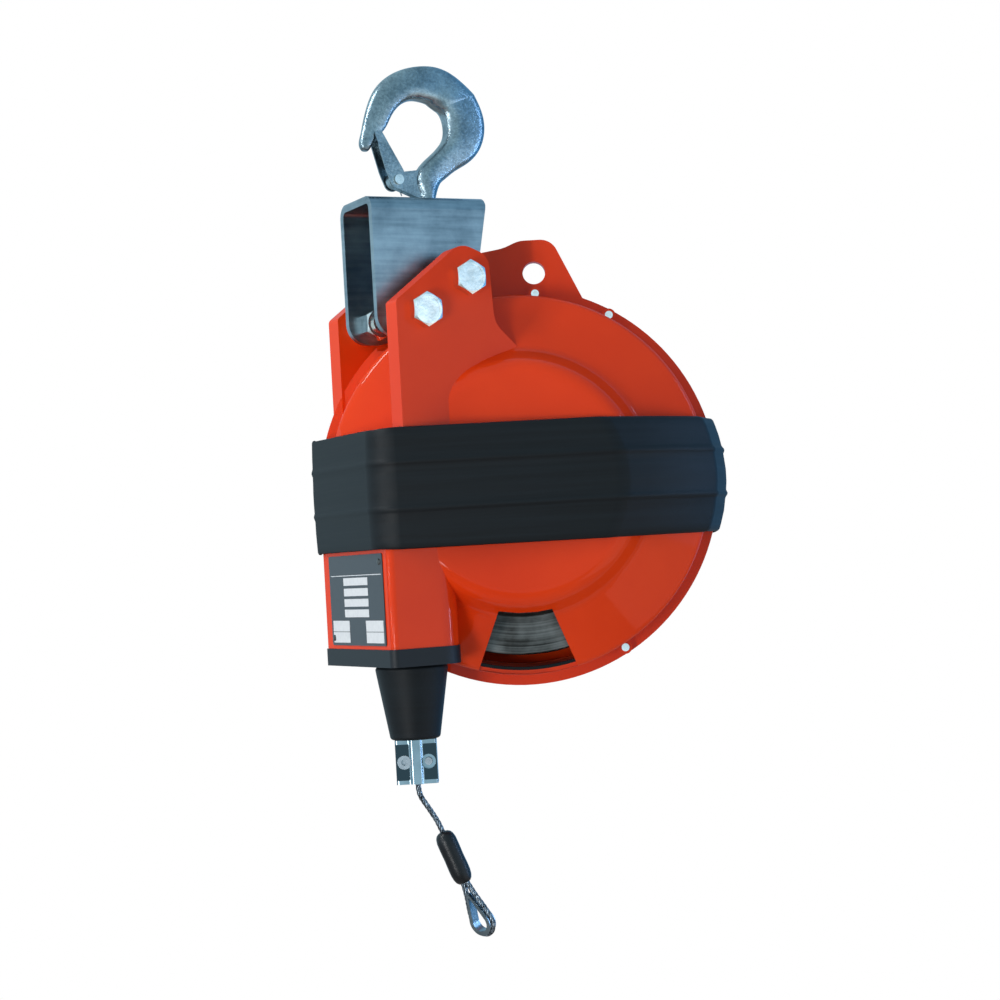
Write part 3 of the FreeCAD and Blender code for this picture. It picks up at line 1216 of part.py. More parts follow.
doc.recompute()
failed = [o.Label for o in doc.Objects if "Invalid" in o.State or "Error" in o.State]
if failed:
    raise ValueError("objects failed: %s" % failed)
for node in nodes:
    if node.Shape.isNull() or not node.Shape.isValid():
        raise ValueError("%s has no valid shape" % node.Label)
os.makedirs("parts", exist_ok=True)
for node in nodes:
    node.Shape.exportStep("parts/%s.step" % node.Label)
    solids = len(node.Shape.Solids)
    print("%-22s %2d solids %12.1f mm3" % (node.Label, solids, node.Shape.Volume))
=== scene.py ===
import math

import bmesh
import bpy
from mathutils import Matrix, Vector


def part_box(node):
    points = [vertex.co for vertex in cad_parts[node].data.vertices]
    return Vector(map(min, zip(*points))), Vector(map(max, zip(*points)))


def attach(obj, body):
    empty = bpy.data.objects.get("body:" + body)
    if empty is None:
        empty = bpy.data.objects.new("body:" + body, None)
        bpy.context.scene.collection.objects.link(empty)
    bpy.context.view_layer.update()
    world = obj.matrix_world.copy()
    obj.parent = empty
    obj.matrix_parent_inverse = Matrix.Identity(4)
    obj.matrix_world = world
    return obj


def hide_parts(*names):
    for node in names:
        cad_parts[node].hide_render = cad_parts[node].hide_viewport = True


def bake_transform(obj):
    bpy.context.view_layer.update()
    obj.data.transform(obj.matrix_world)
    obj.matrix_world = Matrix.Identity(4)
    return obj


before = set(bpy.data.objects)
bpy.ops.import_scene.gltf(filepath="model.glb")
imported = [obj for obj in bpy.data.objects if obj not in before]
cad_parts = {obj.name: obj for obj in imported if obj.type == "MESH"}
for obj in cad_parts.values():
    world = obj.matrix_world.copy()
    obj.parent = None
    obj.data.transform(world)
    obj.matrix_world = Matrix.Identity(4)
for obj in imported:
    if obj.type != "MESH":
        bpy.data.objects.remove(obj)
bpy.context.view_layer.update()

# Camera ---------------------------------------------------------------------------------------------
# A long lens looks slightly up at the balancer from its front left.  Its three numbers of turn are
# its heading from +Y, its climb, and its roll about the line of sight.

heading, climb, roll = math.radians(26.89), math.radians(1.59), math.radians(-3.30)
sight = Vector((math.sin(heading) * math.cos(climb), math.cos(heading) * math.cos(climb), math.sin(climb)))
level = Vector((math.cos(heading), -math.sin(heading), 0))
upright = level.cross(sight)
across = level * math.cos(roll) + upright * math.sin(roll)
above = upright * math.cos(roll) - level * math.sin(roll)
lens = bpy.data.cameras.new("lens")
lens.sensor_width = 36.0
lens.lens = 78.19
lens.clip_end = 60.0
camera = bpy.data.objects.new("camera", lens)
camera.matrix_world = (Matrix.Translation((-0.7596, -1.6035, -0.3804))
                       @ Matrix((across, above, -sight)).transposed().to_4x4())
bpy.context.collection.objects.link(camera)
bpy.context.scene.camera = camera

# Rope tail ------------------------------------------------------------------------------------------
# The free end of the wire rope below the clamp: a galvanised 6-strand steel rope 4.4 mm thick, bent
# to the front where it hangs, and swaged back on itself under the black sleeve.

# Half the rope's thickness, and the place in x and y where it hangs.
ROPE = 0.0022
RUN = (-0.044116, -0.019960)
# The tail's route, across the drum's axis and up from the clamp's foot.
TAIL = [(0.0, 0.0), (0.0, -0.0055), (0.0017, -0.0115), (0.0059, -0.0180), (0.0104, -0.0254),
        (0.0143, -0.0322), (0.0172, -0.0398)]
# The drum's axis is turned this far from -Y towards -X.
TURN = math.radians(27.0)
clamp_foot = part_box("clamp_front")[0][2]
tail_route = [Vector((RUN[0] + a * math.cos(TURN), RUN[1] - a * math.sin(TURN), clamp_foot + z))
              for a, z in TAIL]


def tint(hexadecimal):
    """sRGB hex colour as the linear numbers that a shader takes."""
    parts = [int(hexadecimal[i:i + 2], 16) / 255 for i in (0, 2, 4)]
    return tuple(c / 12.92 if c <= 0.04045 else ((c + 0.055) / 1.055) ** 2.4 for c in parts) + (1.0,)


def node(tree, kind, settings=(), **links):
    """Add a node; settings are (name or socket, value), links are socket=(node, output)."""
    made = tree.nodes.new(kind)
    for name, value in settings:
        if isinstance(name, str) and hasattr(made, name):
            setattr(made, name, value)
        else:
            made.inputs[name].default_value = value
    for socket, source in links.items():
        name = socket[1:] if socket.startswith("_") else socket.replace("_", " ")
        target = made.inputs[int(name)] if name.isdigit() else made.inputs[name]
        tree.links.new(source[0].outputs[source[1]], target)
    return made


def finish_named(name):
    """An empty material with its surface shader and output."""
    made = bpy.data.materials.new(name)
    made.use_nodes = True
    tree = made.node_tree
    tree.nodes.clear()
    shader = node(tree, "ShaderNodeBsdfPrincipled")
    node(tree, "ShaderNodeOutputMaterial", Surface=(shader, "BSDF"))
    return made, tree, shader


def give(material, *names):
    """Put a material on CAD nodes or pieces."""
    for name in names:
        data = bpy.data.objects[name].data
        data.materials.clear()
        data.materials.append(material)


# Galvanised strand: a dull bluish zinc, mottled from pale grey to nearly black.
galvanised, tree, shader = finish_named("galvanised_strand")
where = node(tree, "ShaderNodeTexCoord")
grime = node(tree, "ShaderNodeTexNoise", [("Scale", 420.0), ("Detail", 4.0)], Vector=(where, "Object"))
ramp = node(tree, "ShaderNodeValToRGB", Fac=(grime, "Fac"))
ramp.color_ramp.elements[0].position, ramp.color_ramp.elements[0].color = 0.35, tint("24282D")
ramp.color_ramp.elements[1].position, ramp.color_ramp.elements[1].color = 0.62, tint("8E979F")
tree.links.new(ramp.outputs["Color"], shader.inputs["Base Color"])
shader.inputs["Metallic"].default_value = 1.0
shader.inputs["Roughness"].default_value = 0.34


def line_through(points):
    """Points read from a smooth curve that has the given route as its control points."""
    data = bpy.data.curves.new("route", "CURVE")
    data.dimensions = "3D"
    data.resolution_u = 12
    spline = data.splines.new("NURBS")
    spline.points.add(len(points) - 1)
    for point, place in zip(spline.points, points):
        point.co = (*place, 1.0)
    spline.order_u = 3
    spline.use_endpoint_u = True
    carrier = bpy.data.objects.new("route", data)
    read = bpy.data.meshes.new_from_object(carrier)
    line = [v.co.copy() for v in read.vertices]
    bpy.data.objects.remove(carrier)
    bpy.data.curves.remove(data)
    bpy.data.meshes.remove(read)
    return line


# Six strands go once round the core in each lay of 24 mm.  Each has 8 sides and a ring of points every
# 1.1 mm, and is 6 % over its share of the rope's thickness, so that it meets the next.
STRANDS, LAY = 6, 0.024
SIDES, STEP = 8, 0.0011
SNUG = 1.06


def rope_mesh(name, line):
    """Strands laid in a helix round a line, as one mesh, with a core strand down the middle."""
    even, spare = [line[0]], 0.0
    for a, b in zip(line, line[1:]):
        run = (b - a).length
        while run > 0 and spare + run >= STEP:
            cut = STEP - spare
            a = a + (b - a) * (cut / run)
            run -= cut
            spare = 0.0
            even.append(a.copy())
        spare += run
    if (line[-1] - even[-1]).length > STEP * 0.3:
        even.append(line[-1].copy())
    else:
        even[-1] = line[-1].copy()
    frames, side = [], None
    for i, here in enumerate(even):
        ahead = (even[min(i + 1, len(even) - 1)] - even[max(i - 1, 0)]).normalized()
        if side is None:
            side = ahead.orthogonal().normalized()
        side = (side - ahead * side.dot(ahead)).normalized()
        frames.append((here, side.copy(), ahead.cross(side)))
    made = bmesh.new()
    wire = ROPE / 3
    for strand in range(STRANDS + 1):
        out = 0.0 if strand == STRANDS else ROPE - wire
        rings = []
        for i, (here, one, two) in enumerate(frames):
            turn = 2 * math.pi * (strand / STRANDS + i * STEP / LAY)
            lean = 2 * math.pi * out / LAY
            radial = one * math.cos(turn) + two * math.sin(turn)
            round_it = two * math.cos(turn) - one * math.sin(turn)
            ahead = (one.cross(two) + round_it * lean).normalized()
            flat = ahead.cross(radial)
            middle = here + radial * out
            ring = []
            for k in range(SIDES):
                angle = 2 * math.pi * k / SIDES
                outward = radial * math.cos(angle) + flat * math.sin(angle)
                ring.append(made.verts.new(middle + outward * wire * SNUG))
            rings.append(ring)
        for a, b in zip(rings, rings[1:]):
            for k in range(SIDES):
                made.faces.new((a[k], b[k], b[(k + 1) % SIDES], a[(k + 1) % SIDES]))
        made.faces.new(rings[0])
        made.faces.new(rings[-1])
    bmesh.ops.recalc_face_normals(made, faces=made.faces)
    return settle(made, name, True)


def settle(made, name, smooth=False, angle=None):
    """Turn a bmesh into an object of the scene, at the origin."""
    data = bpy.data.meshes.new(name)
    made.to_mesh(data)
    made.free()
    for face in data.polygons:
        face.use_smooth = smooth
    if angle is not None:
        data.set_sharp_from_angle(angle=math.radians(angle))
    piece = bpy.data.objects.new(name, data)
    bpy.context.collection.objects.link(piece)
    return piece


# The rope runs on down through the sleeve, nearly to its foot.
SLEEVE_LONG = 0.044
sleeve_top = tail_route[-1]
sleeve_way = (tail_route[-1] - tail_route[-2]).normalized()
tail_line = line_through(tail_route)
tail_line += [sleeve_top + sleeve_way * SLEEVE_LONG * share for share in (0.25, 0.5, 0.75, 0.95)]
tail = rope_mesh("wire_rope_tail", tail_line)
give(galvanised, "wire_rope_tail")
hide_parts("rope_tail")
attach(tail, "rope_end")

# Rope run -------------------------------------------------------------------------------------------
# The same rope hangs straight from the drum, through the guide bush and the buffer, to the clamp.  As
# it is drawn out, it grows longer below the drum.

run_foot, run_head = (Vector((*RUN, corner[2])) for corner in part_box("rope_run"))
run = rope_mesh("rope_run_strands", [run_head, run_foot])
give(galvanised, "rope_run_strands")
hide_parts("rope_run")
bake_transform(run)

# Sleeve and eye -------------------------------------------------------------------------------------
# The rope is turned back round a bent zinc-plated thimble and swaged under a black heat-shrunk
# sleeve, whose ends close down over the rope.

EYE_TWIST = math.radians(-70.0)
seat = (Matrix.Translation(sleeve_top)
        @ Vector((0, 0, -1)).rotation_difference(sleeve_way).to_matrix().to_4x4()
        @ Matrix.Rotation(EYE_TWIST, 4, "Z"))
# The sleeve's outline from its top down: its radius at each height.
profile = [(0.0026, 0.0000), (0.0042, -0.0005), (0.0060, -0.0017), (0.0073, -0.0038),
           (0.0081, -0.0072), (0.0082, -0.0140), (0.0080, -0.0220), (0.0082, -0.0300),
           (0.0081, -0.0355), (0.0075, -0.0392), (0.0064, -0.0420), (0.0048, -0.0437), (0.0024, -0.0440)]
made = bmesh.new()
rim = [made.verts.new((r, 0, z)) for r, z in profile]
edges = [made.edges.new(pair) for pair in zip(rim, rim[1:])]
bmesh.ops.spin(made, geom=rim + edges, cent=(0, 0, 0), axis=(0, 0, 1), angle=2 * math.pi, steps=40,
               use_merge=True)
bmesh.ops.holes_fill(made, edges=made.edges, sides=0)
bmesh.ops.recalc_face_normals(made, faces=made.faces)
bmesh.ops.transform(made, matrix=seat, verts=made.verts)
sleeve = settle(made, "shrunk_sleeve", True, 50)
shrink, tree, shader = finish_named("heat_shrink_polyolefin")
where = node(tree, "ShaderNodeTexCoord")
lumps = node(tree, "ShaderNodeTexNoise", [("Scale", 260.0), ("Detail", 3.0)], Vector=(where, "Object"))
bump = node(tree, "ShaderNodeBump", [("Strength", 0.25), ("Distance", 0.0006)], Height=(lumps, "Fac"))
tree.links.new(bump.outputs["Normal"], shader.inputs["Normal"])
shade = node(tree, "ShaderNodeValToRGB", Fac=(lumps, "Fac"))
shade.color_ramp.elements[0].color, shade.color_ramp.elements[1].color = tint("07090C"), tint("0F1216")
tree.links.new(shade.outputs["Color"], shader.inputs["Base Color"])
shader.inputs["Roughness"].default_value = 0.36
shader.inputs["Specular IOR Level"].default_value = 0.3
give(shrink, "shrunk_sleeve")
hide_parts("ferrule")
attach(sleeve, "rope_end")

# Half the eye's width, and its length below the sleeve.  Half the loop goes down the thimble's side and
# round its foot.
EYE_HALF, EYE_LONG = 0.013, 0.047
ring = EYE_HALF - ROPE
low = -(EYE_LONG - EYE_HALF)
foot = seat @ Matrix.Translation((0, 0, -SLEEVE_LONG))
side = [(ROPE + 0.00005, 0.0008), (0.0036, low * 0.25), (ring * 0.86, low * 0.72)]
bend = [(ring * math.cos(math.radians(t)), low - ring * math.sin(math.radians(t))) for t in (0, 30, 60, 90)]
half_loop = side + bend
loop = [Vector((x, 0, z)) for x, z in half_loop] + [Vector((-x, 0, z)) for x, z in reversed(half_loop[:-1])]
eye = rope_mesh("rope_eye_strands", [foot @ p for p in line_through(loop)])
give(galvanised, "rope_eye_strands")
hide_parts("rope_eye")
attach(eye, "rope_end")

# Forged hook ----------------------------------------------------------------------------------------
# The hook is drop-forged steel and its latch pressed sheet; both are zinc plated and blue passivated,
# with the forging's sandy skin showing through.

forged, tree, shader = finish_named("zinc_plated_forging")
where = node(tree, "ShaderNodeTexCoord")
# Sandy skin: specks some 2 mm across under patches of 20 mm.
speck = node(tree, "ShaderNodeTexNoise", [("Scale", 480.0), ("Detail", 3.0), ("Roughness", 0.7)],
             Vector=(where, "Object"))
patch = node(tree, "ShaderNodeTexNoise", [("Scale", 50.0), ("Detail", 4.0)], Vector=(where, "Object"))
both = node(tree, "ShaderNodeMix", [("data_type", "FLOAT"), ("Factor", 0.5)],
            _2=(speck, "Fac"), _3=(patch, "Fac"))
shade = node(tree, "ShaderNodeValToRGB", Fac=(both, "Result"))
shade.color_ramp.elements[0].position, shade.color_ramp.elements[0].color = 0.36, tint("62737B")
shade.color_ramp.elements[1].position, shade.color_ramp.elements[1].color = 0.64, tint("9EADB3")
tree.links.new(shade.outputs["Color"], shader.inputs["Base Color"])
bump = node(tree, "ShaderNodeBump", [("Strength", 0.6), ("Distance", 0.0008)], Height=(both, "Result"))
tree.links.new(bump.outputs["Normal"], shader.inputs["Normal"])
shader.inputs["Metallic"].default_value = 1.0
shader.inputs["Roughness"].default_value = 0.26
give(forged, "suspension_hook", "safety_latch")

# Bracket --------------------------------------------------------------------------------------------
# Bent from 6 mm rolled steel plate, zinc plated and blue passivated: bluish grey with cloudy patches
# and faint level streaks from rolling.  The thimble is pressed from strip of the same finish.

rolled, tree, shader = finish_named("zinc_plated_plate")
where = node(tree, "ShaderNodeTexCoord")
cloud = node(tree, "ShaderNodeTexNoise", [("Scale", 26.0), ("Detail", 6.0), ("Roughness", 0.62)],
             Vector=(where, "Object"))
# Rolling streaks lie some 3 mm apart.
along = node(tree, "ShaderNodeMapping", [("Scale", (22.0, 22.0, 340.0))], Vector=(where, "Object"))
streak = node(tree, "ShaderNodeTexNoise", [("Scale", 1.0), ("Detail", 4.0)], Vector=(along, "Vector"))
both = node(tree, "ShaderNodeMix", [("data_type", "FLOAT"), ("Factor", 0.3)],
            _2=(cloud, "Fac"), _3=(streak, "Fac"))
shade = node(tree, "ShaderNodeValToRGB", Fac=(both, "Result"))
shade.color_ramp.elements[0].position, shade.color_ramp.elements[0].color = 0.34, tint("65767F")
shade.color_ramp.elements[1].position, shade.color_ramp.elements[1].color = 0.64, tint("9BAAB1")
tree.links.new(shade.outputs["Color"], shader.inputs["Base Color"])
rough = node(tree, "ShaderNodeMapRange", [("To Min", 0.22), ("To Max", 0.36)], Value=(both, "Result"))
tree.links.new(rough.outputs["Result"], shader.inputs["Roughness"])
shader.inputs["Metallic"].default_value = 1.0
give(rolled, "suspension_bracket", "thimble")

# Bolts and nuts -------------------------------------------------------------------------------------
# Standard hexagon bolts, nuts and turned spacers with a bright zinc plate.

bright, tree, shader = finish_named("bright_zinc_plating")
where = node(tree, "ShaderNodeTexCoord")
cloud = node(tree, "ShaderNodeTexNoise", [("Scale", 130.0), ("Detail", 4.0)], Vector=(where, "Object"))
shade = node(tree, "ShaderNodeValToRGB", Fac=(cloud, "Fac"))
shade.color_ramp.elements[0].position, shade.color_ramp.elements[0].color = 0.3, tint("DDDAD4")
shade.color_ramp.elements[1].position, shade.color_ramp.elements[1].color = 0.65, tint("FFFDF8")
tree.links.new(shade.outputs["Color"], shader.inputs["Base Color"])
bump = node(tree, "ShaderNodeBump", [("Strength", 0.3), ("Distance", 0.0005)], Height=(cloud, "Fac"))
tree.links.new(bump.outputs["Normal"], shader.inputs["Normal"])
shader.inputs["Metallic"].default_value = 1.0
shader.inputs["Roughness"].default_value = 0.18
give(bright, "hook_nut", "latch_pin", "ear_bolts", "bracket_nuts", "bracket_spacers", "cover_screws")

# Plain steel ----------------------------------------------------------------------------------------
# Small screws, bearings, shafts and springs are of steel left bare, and share one bright turned finish.

steel, tree, shader = finish_named("bright_turned_steel")
where = node(tree, "ShaderNodeTexCoord")
marks = node(tree, "ShaderNodeTexNoise", [("Scale", 300.0), ("Detail", 3.0)], Vector=(where, "Object"))
shade = node(tree, "ShaderNodeValToRGB", Fac=(marks, "Fac"))
shade.color_ramp.elements[0].color, shade.color_ramp.elements[1].color = tint("8F9296"), tint("B9BCBF")
tree.links.new(shade.outputs["Color"], shader.inputs["Base Color"])
shader.inputs["Metallic"].default_value = 1.0
shader.inputs["Roughness"].default_value = 0.28
give(steel, "thrust_washer", "cotter_pin", "drum_bearings", "arbor", "spring_core", "tension_worm",
     "gear_cover_screws", "outlet_screws", "spring_cover", "latch_spring", "power_spring", "clamp_screws")

# Castings -------------------------------------------------------------------------------------------
# Both covers are cast aluminium under a thick gloss red-orange stoving enamel, which has the slight
# orange peel of a sprayed coat.  Next to its window, the front cover's inside has painted shade, nearly
# black.

DRUM = Vector((0.072, 0.0, -0.320))
# Where the front cover has painted shade, from the drum's middle: behind a cone, within a radius,
# below a height, and to the right of an upright line.
CONE_SLOPE, CONE_DEPTH = 0.574, -0.1354
DARK_RIM, DARK_TOP, DARK_LEFT = 0.1502, -0.085, -0.062
for name, painted_shade_inside in (("stoved_enamel", False), ("stoved_enamel_over_raw_casting", True)):
    enamel, tree, shader = finish_named(name)
    where = node(tree, "ShaderNodeTexCoord")
    cloud = node(tree, "ShaderNodeTexNoise", [("Scale", 9.0), ("Detail", 4.0)], Vector=(where, "Object"))
    shade = node(tree, "ShaderNodeValToRGB", Fac=(cloud, "Fac"))
    shade.color_ramp.elements[0].position, shade.color_ramp.elements[0].color = 0.3, tint("D4380F")
    shade.color_ramp.elements[1].position, shade.color_ramp.elements[1].color = 0.7, tint("E04013")
    # Orange peel with hollows some 3 mm across.
    peel = node(tree, "ShaderNodeTexNoise", [("Scale", 330.0), ("Detail", 2.0)], Vector=(where, "Object"))
    bump = node(tree, "ShaderNodeBump", [("Strength", 0.10), ("Distance", 0.0006)], Height=(peel, "Fac"))
    tree.links.new(bump.outputs["Normal"], shader.inputs["Normal"])
    shader.inputs["Roughness"].default_value = 0.3
    shader.inputs["Specular IOR Level"].default_value = 0.0
    shader.inputs["Coat Weight"].default_value = 0.35
    shader.inputs["Coat Roughness"].default_value = 0.06
    if not painted_shade_inside:
        tree.links.new(shade.outputs["Color"], shader.inputs["Base Color"])
        give(enamel, "rear_cover", "gear_cover")
        continue
    # Places across, back and up from the drum's middle.
    turn = node(tree, "ShaderNodeMapping",
                [("vector_type", "TEXTURE"), ("Location", DRUM), ("Rotation", (0, 0, -TURN))],
                Vector=(where, "Object"))
    apart = node(tree, "ShaderNodeSeparateXYZ", Vector=(turn, "Vector"))
    across_up = node(tree, "ShaderNodeCombineXYZ", X=(apart, "X"), Y=(apart, "Z"))
    radius = node(tree, "ShaderNodeVectorMath", [("operation", "LENGTH")], _0=(across_up, "Vector"))
    cone = node(tree, "ShaderNodeMath",
                [("operation", "MULTIPLY_ADD"), (1, CONE_SLOPE), (2, CONE_DEPTH)], _0=(radius, "Value"))
    inside = node(tree, "ShaderNodeMath", [("operation", "GREATER_THAN")],
                  _0=(apart, "Y"), _1=(cone, "Value"))
    for side_of, limit, place in (("LESS_THAN", DARK_RIM, (radius, "Value")),
                                  ("LESS_THAN", DARK_TOP, (apart, "Z")),
                                  ("GREATER_THAN", DARK_LEFT, (apart, "X"))):
        allowed = node(tree, "ShaderNodeMath", [("operation", side_of), (1, limit)], _0=place)
        inside = node(tree, "ShaderNodeMath", [("operation", "MULTIPLY")],
                      _0=(inside, "Value"), _1=(allowed, "Value"))
    # Painted shade: nearly black in place of the enamel's colour, inside the cover next to its window.
    painted_dark_mix = node(tree, "ShaderNodeMix", [("data_type", "RGBA"), (7, tint("0E0C0B"))], Factor=(inside, "Value"),
                _6=(shade, "Color"))
    tree.links.new(painted_dark_mix.outputs[2], shader.inputs["Base Color"])
    give(enamel, "front_cover")

# Drum -----------------------------------------------------------------------------------------------
# Turned aluminium with fine tool rings round its axis; the rope lies in its grooves.

turned, tree, shader = finish_named("turned_aluminium")
where = node(tree, "ShaderNodeTexCoord")
turn = node(tree, "ShaderNodeMapping",
            [("vector_type", "TEXTURE"), ("Location", DRUM), ("Rotation", (0, 0, -TURN))],
            Vector=(where, "Object"))
apart = node(tree, "ShaderNodeSeparateXYZ", Vector=(turn, "Vector"))
across_up = node(tree, "ShaderNodeCombineXYZ", X=(apart, "X"), Y=(apart, "Z"))
radius = node(tree, "ShaderNodeVectorMath", [("operation", "LENGTH")], _0=(across_up, "Vector"))
ringed = node(tree, "ShaderNodeCombineXYZ", X=(radius, "Value"), Y=(apart, "Y"))
# Tool rings some 1.5 mm apart, under uneven patches of light and dark 20 mm across.
rings = node(tree, "ShaderNodeTexNoise", [("Scale", 640.0), ("Detail", 3.0)], Vector=(ringed, "Vector"))
patch = node(tree, "ShaderNodeTexNoise", [("Scale", 50.0), ("Detail", 5.0)], Vector=(where, "Object"))
both = node(tree, "ShaderNodeMix", [("data_type", "FLOAT"), ("Factor", 0.5)],
            _2=(rings, "Fac"), _3=(patch, "Fac"))
shade = node(tree, "ShaderNodeValToRGB", Fac=(both, "Result"))
shade.color_ramp.elements[0].position, shade.color_ramp.elements[0].color = 0.36, tint("2E2D2B")
shade.color_ramp.elements[1].position, shade.color_ramp.elements[1].color = 0.64, tint("747370")
tree.links.new(shade.outputs["Color"], shader.inputs["Base Color"])
bump = node(tree, "ShaderNodeBump", [("Strength", 0.3), ("Distance", 0.0003)], Height=(rings, "Fac"))
tree.links.new(bump.outputs["Normal"], shader.inputs["Normal"])
shader.inputs["Metallic"].default_value = 1.0
shader.inputs["Roughness"].default_value = 0.42
give(turned, "rope_drum", "plate_rivets")
give(galvanised, "wound_rope")

bronze, tree, shader = finish_named("plain_bronze")
where = node(tree, "ShaderNodeTexCoord")
cloud = node(tree, "ShaderNodeTexNoise", [("Scale", 120.0), ("Detail", 3.0)], Vector=(where, "Object"))
shade = node(tree, "ShaderNodeValToRGB", Fac=(cloud, "Fac"))
shade.color_ramp.elements[0].color, shade.color_ramp.elements[1].color = tint("9A7238"), tint("C29A55")
tree.links.new(shade.outputs["Color"], shader.inputs["Base Color"])
shader.inputs["Metallic"].default_value = 1.0
shader.inputs["Roughness"].default_value = 0.35
give(bronze, "worm_wheel")

# Rubber belt ----------------------------------------------------------------------------------------
# A broad endless band of smooth black rubber stretched round the housing under the ears, with two
# moulded ridges.  It lies on the round covers, so it bulges a little where the drum is widest.

DRUM_ACROSS = Vector((math.cos(TURN), -math.sin(TURN), 0))
DRUM_BACK = Vector((math.sin(TURN), math.cos(TURN), 0))
# Between the boss and the rim the loop bows out this far.  Towards the neck its wall gets this share
# thinner.
BOW = 0.0030
THINNED = 0.45


def corner_spot(high, rim, bend, back, side=1):
    """Middle of the rounded edge of a turned rim, at one height over the drum's middle."""
    return DRUM + DRUM_ACROSS * side * (math.sqrt(rim * rim - high * high) - bend) + DRUM_BACK * back


def belt_spot(facing, high, out):
    """Point on a taut loop round the housing at one height, on the side that faces one way."""
    way = Vector((math.cos(facing), math.sin(facing), 0))
    # The rounded corners that the loop can lie on, with their radii: the boss, the rim, the flange's front
    # and back, the rear dish on both sides, the gear box on both sides, and the neck's back and front.
    rounds = [
        (corner_spot(high, 0.0940, 0.024, -0.0800), 0.0286),
        (corner_spot(high, 0.1545, 0.007, -0.0430), 0.0078),
        (corner_spot(high, 0.1640, 0.001, -0.0150), 0.0016),
        (corner_spot(high, 0.1640, 0.001, -0.0070), 0.0016),
        (corner_spot(high, 0.1140, 0.008, 0.0260), 0.0088),
        (corner_spot(high, 0.1140, 0.008, 0.0260, -1), 0.0088),
        (DRUM + DRUM_ACROSS * 0.0498 + DRUM_BACK * 0.0548, 0.0032),
        (DRUM - DRUM_ACROSS * 0.0440 + DRUM_BACK * 0.0513, 0.0064),
        (Vector((-0.0780, 0.0700, 0)), 0.0014),
        (Vector((-0.0600, -0.0460, 0)), 0.0222),
    ]
    middle, bend = max(rounds, key=lambda pair: pair[0].dot(way) + pair[1])
    (boss, boss_bend), (rim, rim_bend) = rounds[0], rounds[1]
    along = rim - boss
    lean = math.acos((boss_bend - rim_bend) / along.length)
    reach = along.length * math.sin(lean)
    square = math.atan2(along.y, along.x) - lean
    swept = (reach * reach / 4 + BOW * BOW) / (2 * BOW)
    if math.cos(facing - square) > math.cos(math.asin(reach / 2 / swept)):
        normal = Vector((math.cos(square), math.sin(square), 0))
        middle = (boss + rim + normal * (boss_bend + rim_bend)) / 2 - normal * (swept - BOW)
        bend = swept
    wall = 1.0 - THINNED * max(0.0, -way.x)
    return Vector((middle.x, middle.y, DRUM.z + high)) + way * (bend + out * wall)


# Section of the band: height over the drum's middle, and distance out from the housing.
SECTION = [(0.0470, 0.0000), (0.0471, 0.0018), (0.0466, 0.0036), (0.0450, 0.0047), (0.0405, 0.0050),
           (0.0320, 0.0055), (0.0240, 0.0057), (0.0226, 0.0063), (0.0212, 0.0072), (0.0198, 0.0074),
           (0.0184, 0.0069), (0.0170, 0.0060), (0.0120, 0.0061), (0.0040, 0.0065), (-0.0060, 0.0065),
           (-0.0128, 0.0062), (-0.0142, 0.0068), (-0.0156, 0.0075), (-0.0170, 0.0073), (-0.0184, 0.0064),
           (-0.0198, 0.0058), (-0.0300, 0.0057), (-0.0405, 0.0050), (-0.0450, 0.0047), (-0.0466, 0.0036),
           (-0.0471, 0.0018), (-0.0470, 0.0000), (-0.0300, 0.0000), (-0.0150, 0.0000), (0.0000, 0.0000),
           (0.0150, 0.0000), (0.0300, 0.0000)]
AROUND = 288
HALF_HIGH, EDGE = 0.047, 0.04
WANDER = 0.0005
made = bmesh.new()
bmesh.ops.create_grid(made, x_segments=AROUND, y_segments=len(SECTION), size=0.5)
for vert in made.verts:
    step = round((vert.co.x + 0.5) * AROUND)
    high, out = SECTION[round((vert.co.y + 0.5) * len(SECTION)) % len(SECTION)]
    facing = 2 * math.pi * (step % AROUND) / AROUND
    # The stretched band is never quite even: its edges wander by half a millimetre.
    wave = WANDER * math.sin(3 * facing + 0.8) * (high / HALF_HIGH)
    vert.co = belt_spot(facing, high, out) + Vector((0, 0, wave if abs(high) > EDGE else 0.6 * wave))
bmesh.ops.remove_doubles(made, verts=made.verts, dist=1e-6)
bmesh.ops.recalc_face_normals(made, faces=made.faces)
band = settle(made, "stretched_band", True, 40)

rubber, tree, shader = finish_named("smooth_black_rubber")
where = node(tree, "ShaderNodeTexCoord")
# Faint streaks run round the band: some 4 mm apart in height and 170 mm long.
flow = node(tree, "ShaderNodeMapping", [("Scale", (6.0, 6.0, 240.0))], Vector=(where, "Object"))
streak = node(tree, "ShaderNodeTexNoise", [("Scale", 1.0), ("Detail", 4.0), ("Roughness", 0.6)],
              Vector=(flow, "Vector"))
shade = node(tree, "ShaderNodeValToRGB", Fac=(streak, "Fac"))
shade.color_ramp.elements[0].position, shade.color_ramp.elements[0].color = 0.32, tint("06080B")
shade.color_ramp.elements[1].position, shade.color_ramp.elements[1].color = 0.68, tint("0D1317")
tree.links.new(shade.outputs["Color"], shader.inputs["Base Color"])
rough = node(tree, "ShaderNodeMapRange", [("To Min", 0.44), ("To Max", 0.6)], Value=(streak, "Fac"))
tree.links.new(rough.outputs["Result"], shader.inputs["Roughness"])
bump = node(tree, "ShaderNodeBump", [("Strength", 0.25), ("Distance", 0.0006)], Height=(streak, "Fac"))
tree.links.new(bump.outputs["Normal"], shader.inputs["Normal"])
shader.inputs["Specular IOR Level"].default_value = 0.2
give(rubber, "stretched_band", "rope_buffer")
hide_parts("rubber_belt")
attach(band, "housing")

# Outlet plate ---------------------------------------------------------------------------------------
# The neck is closed below by a thick plate of black moulded nylon with a natural nylon guide bush.

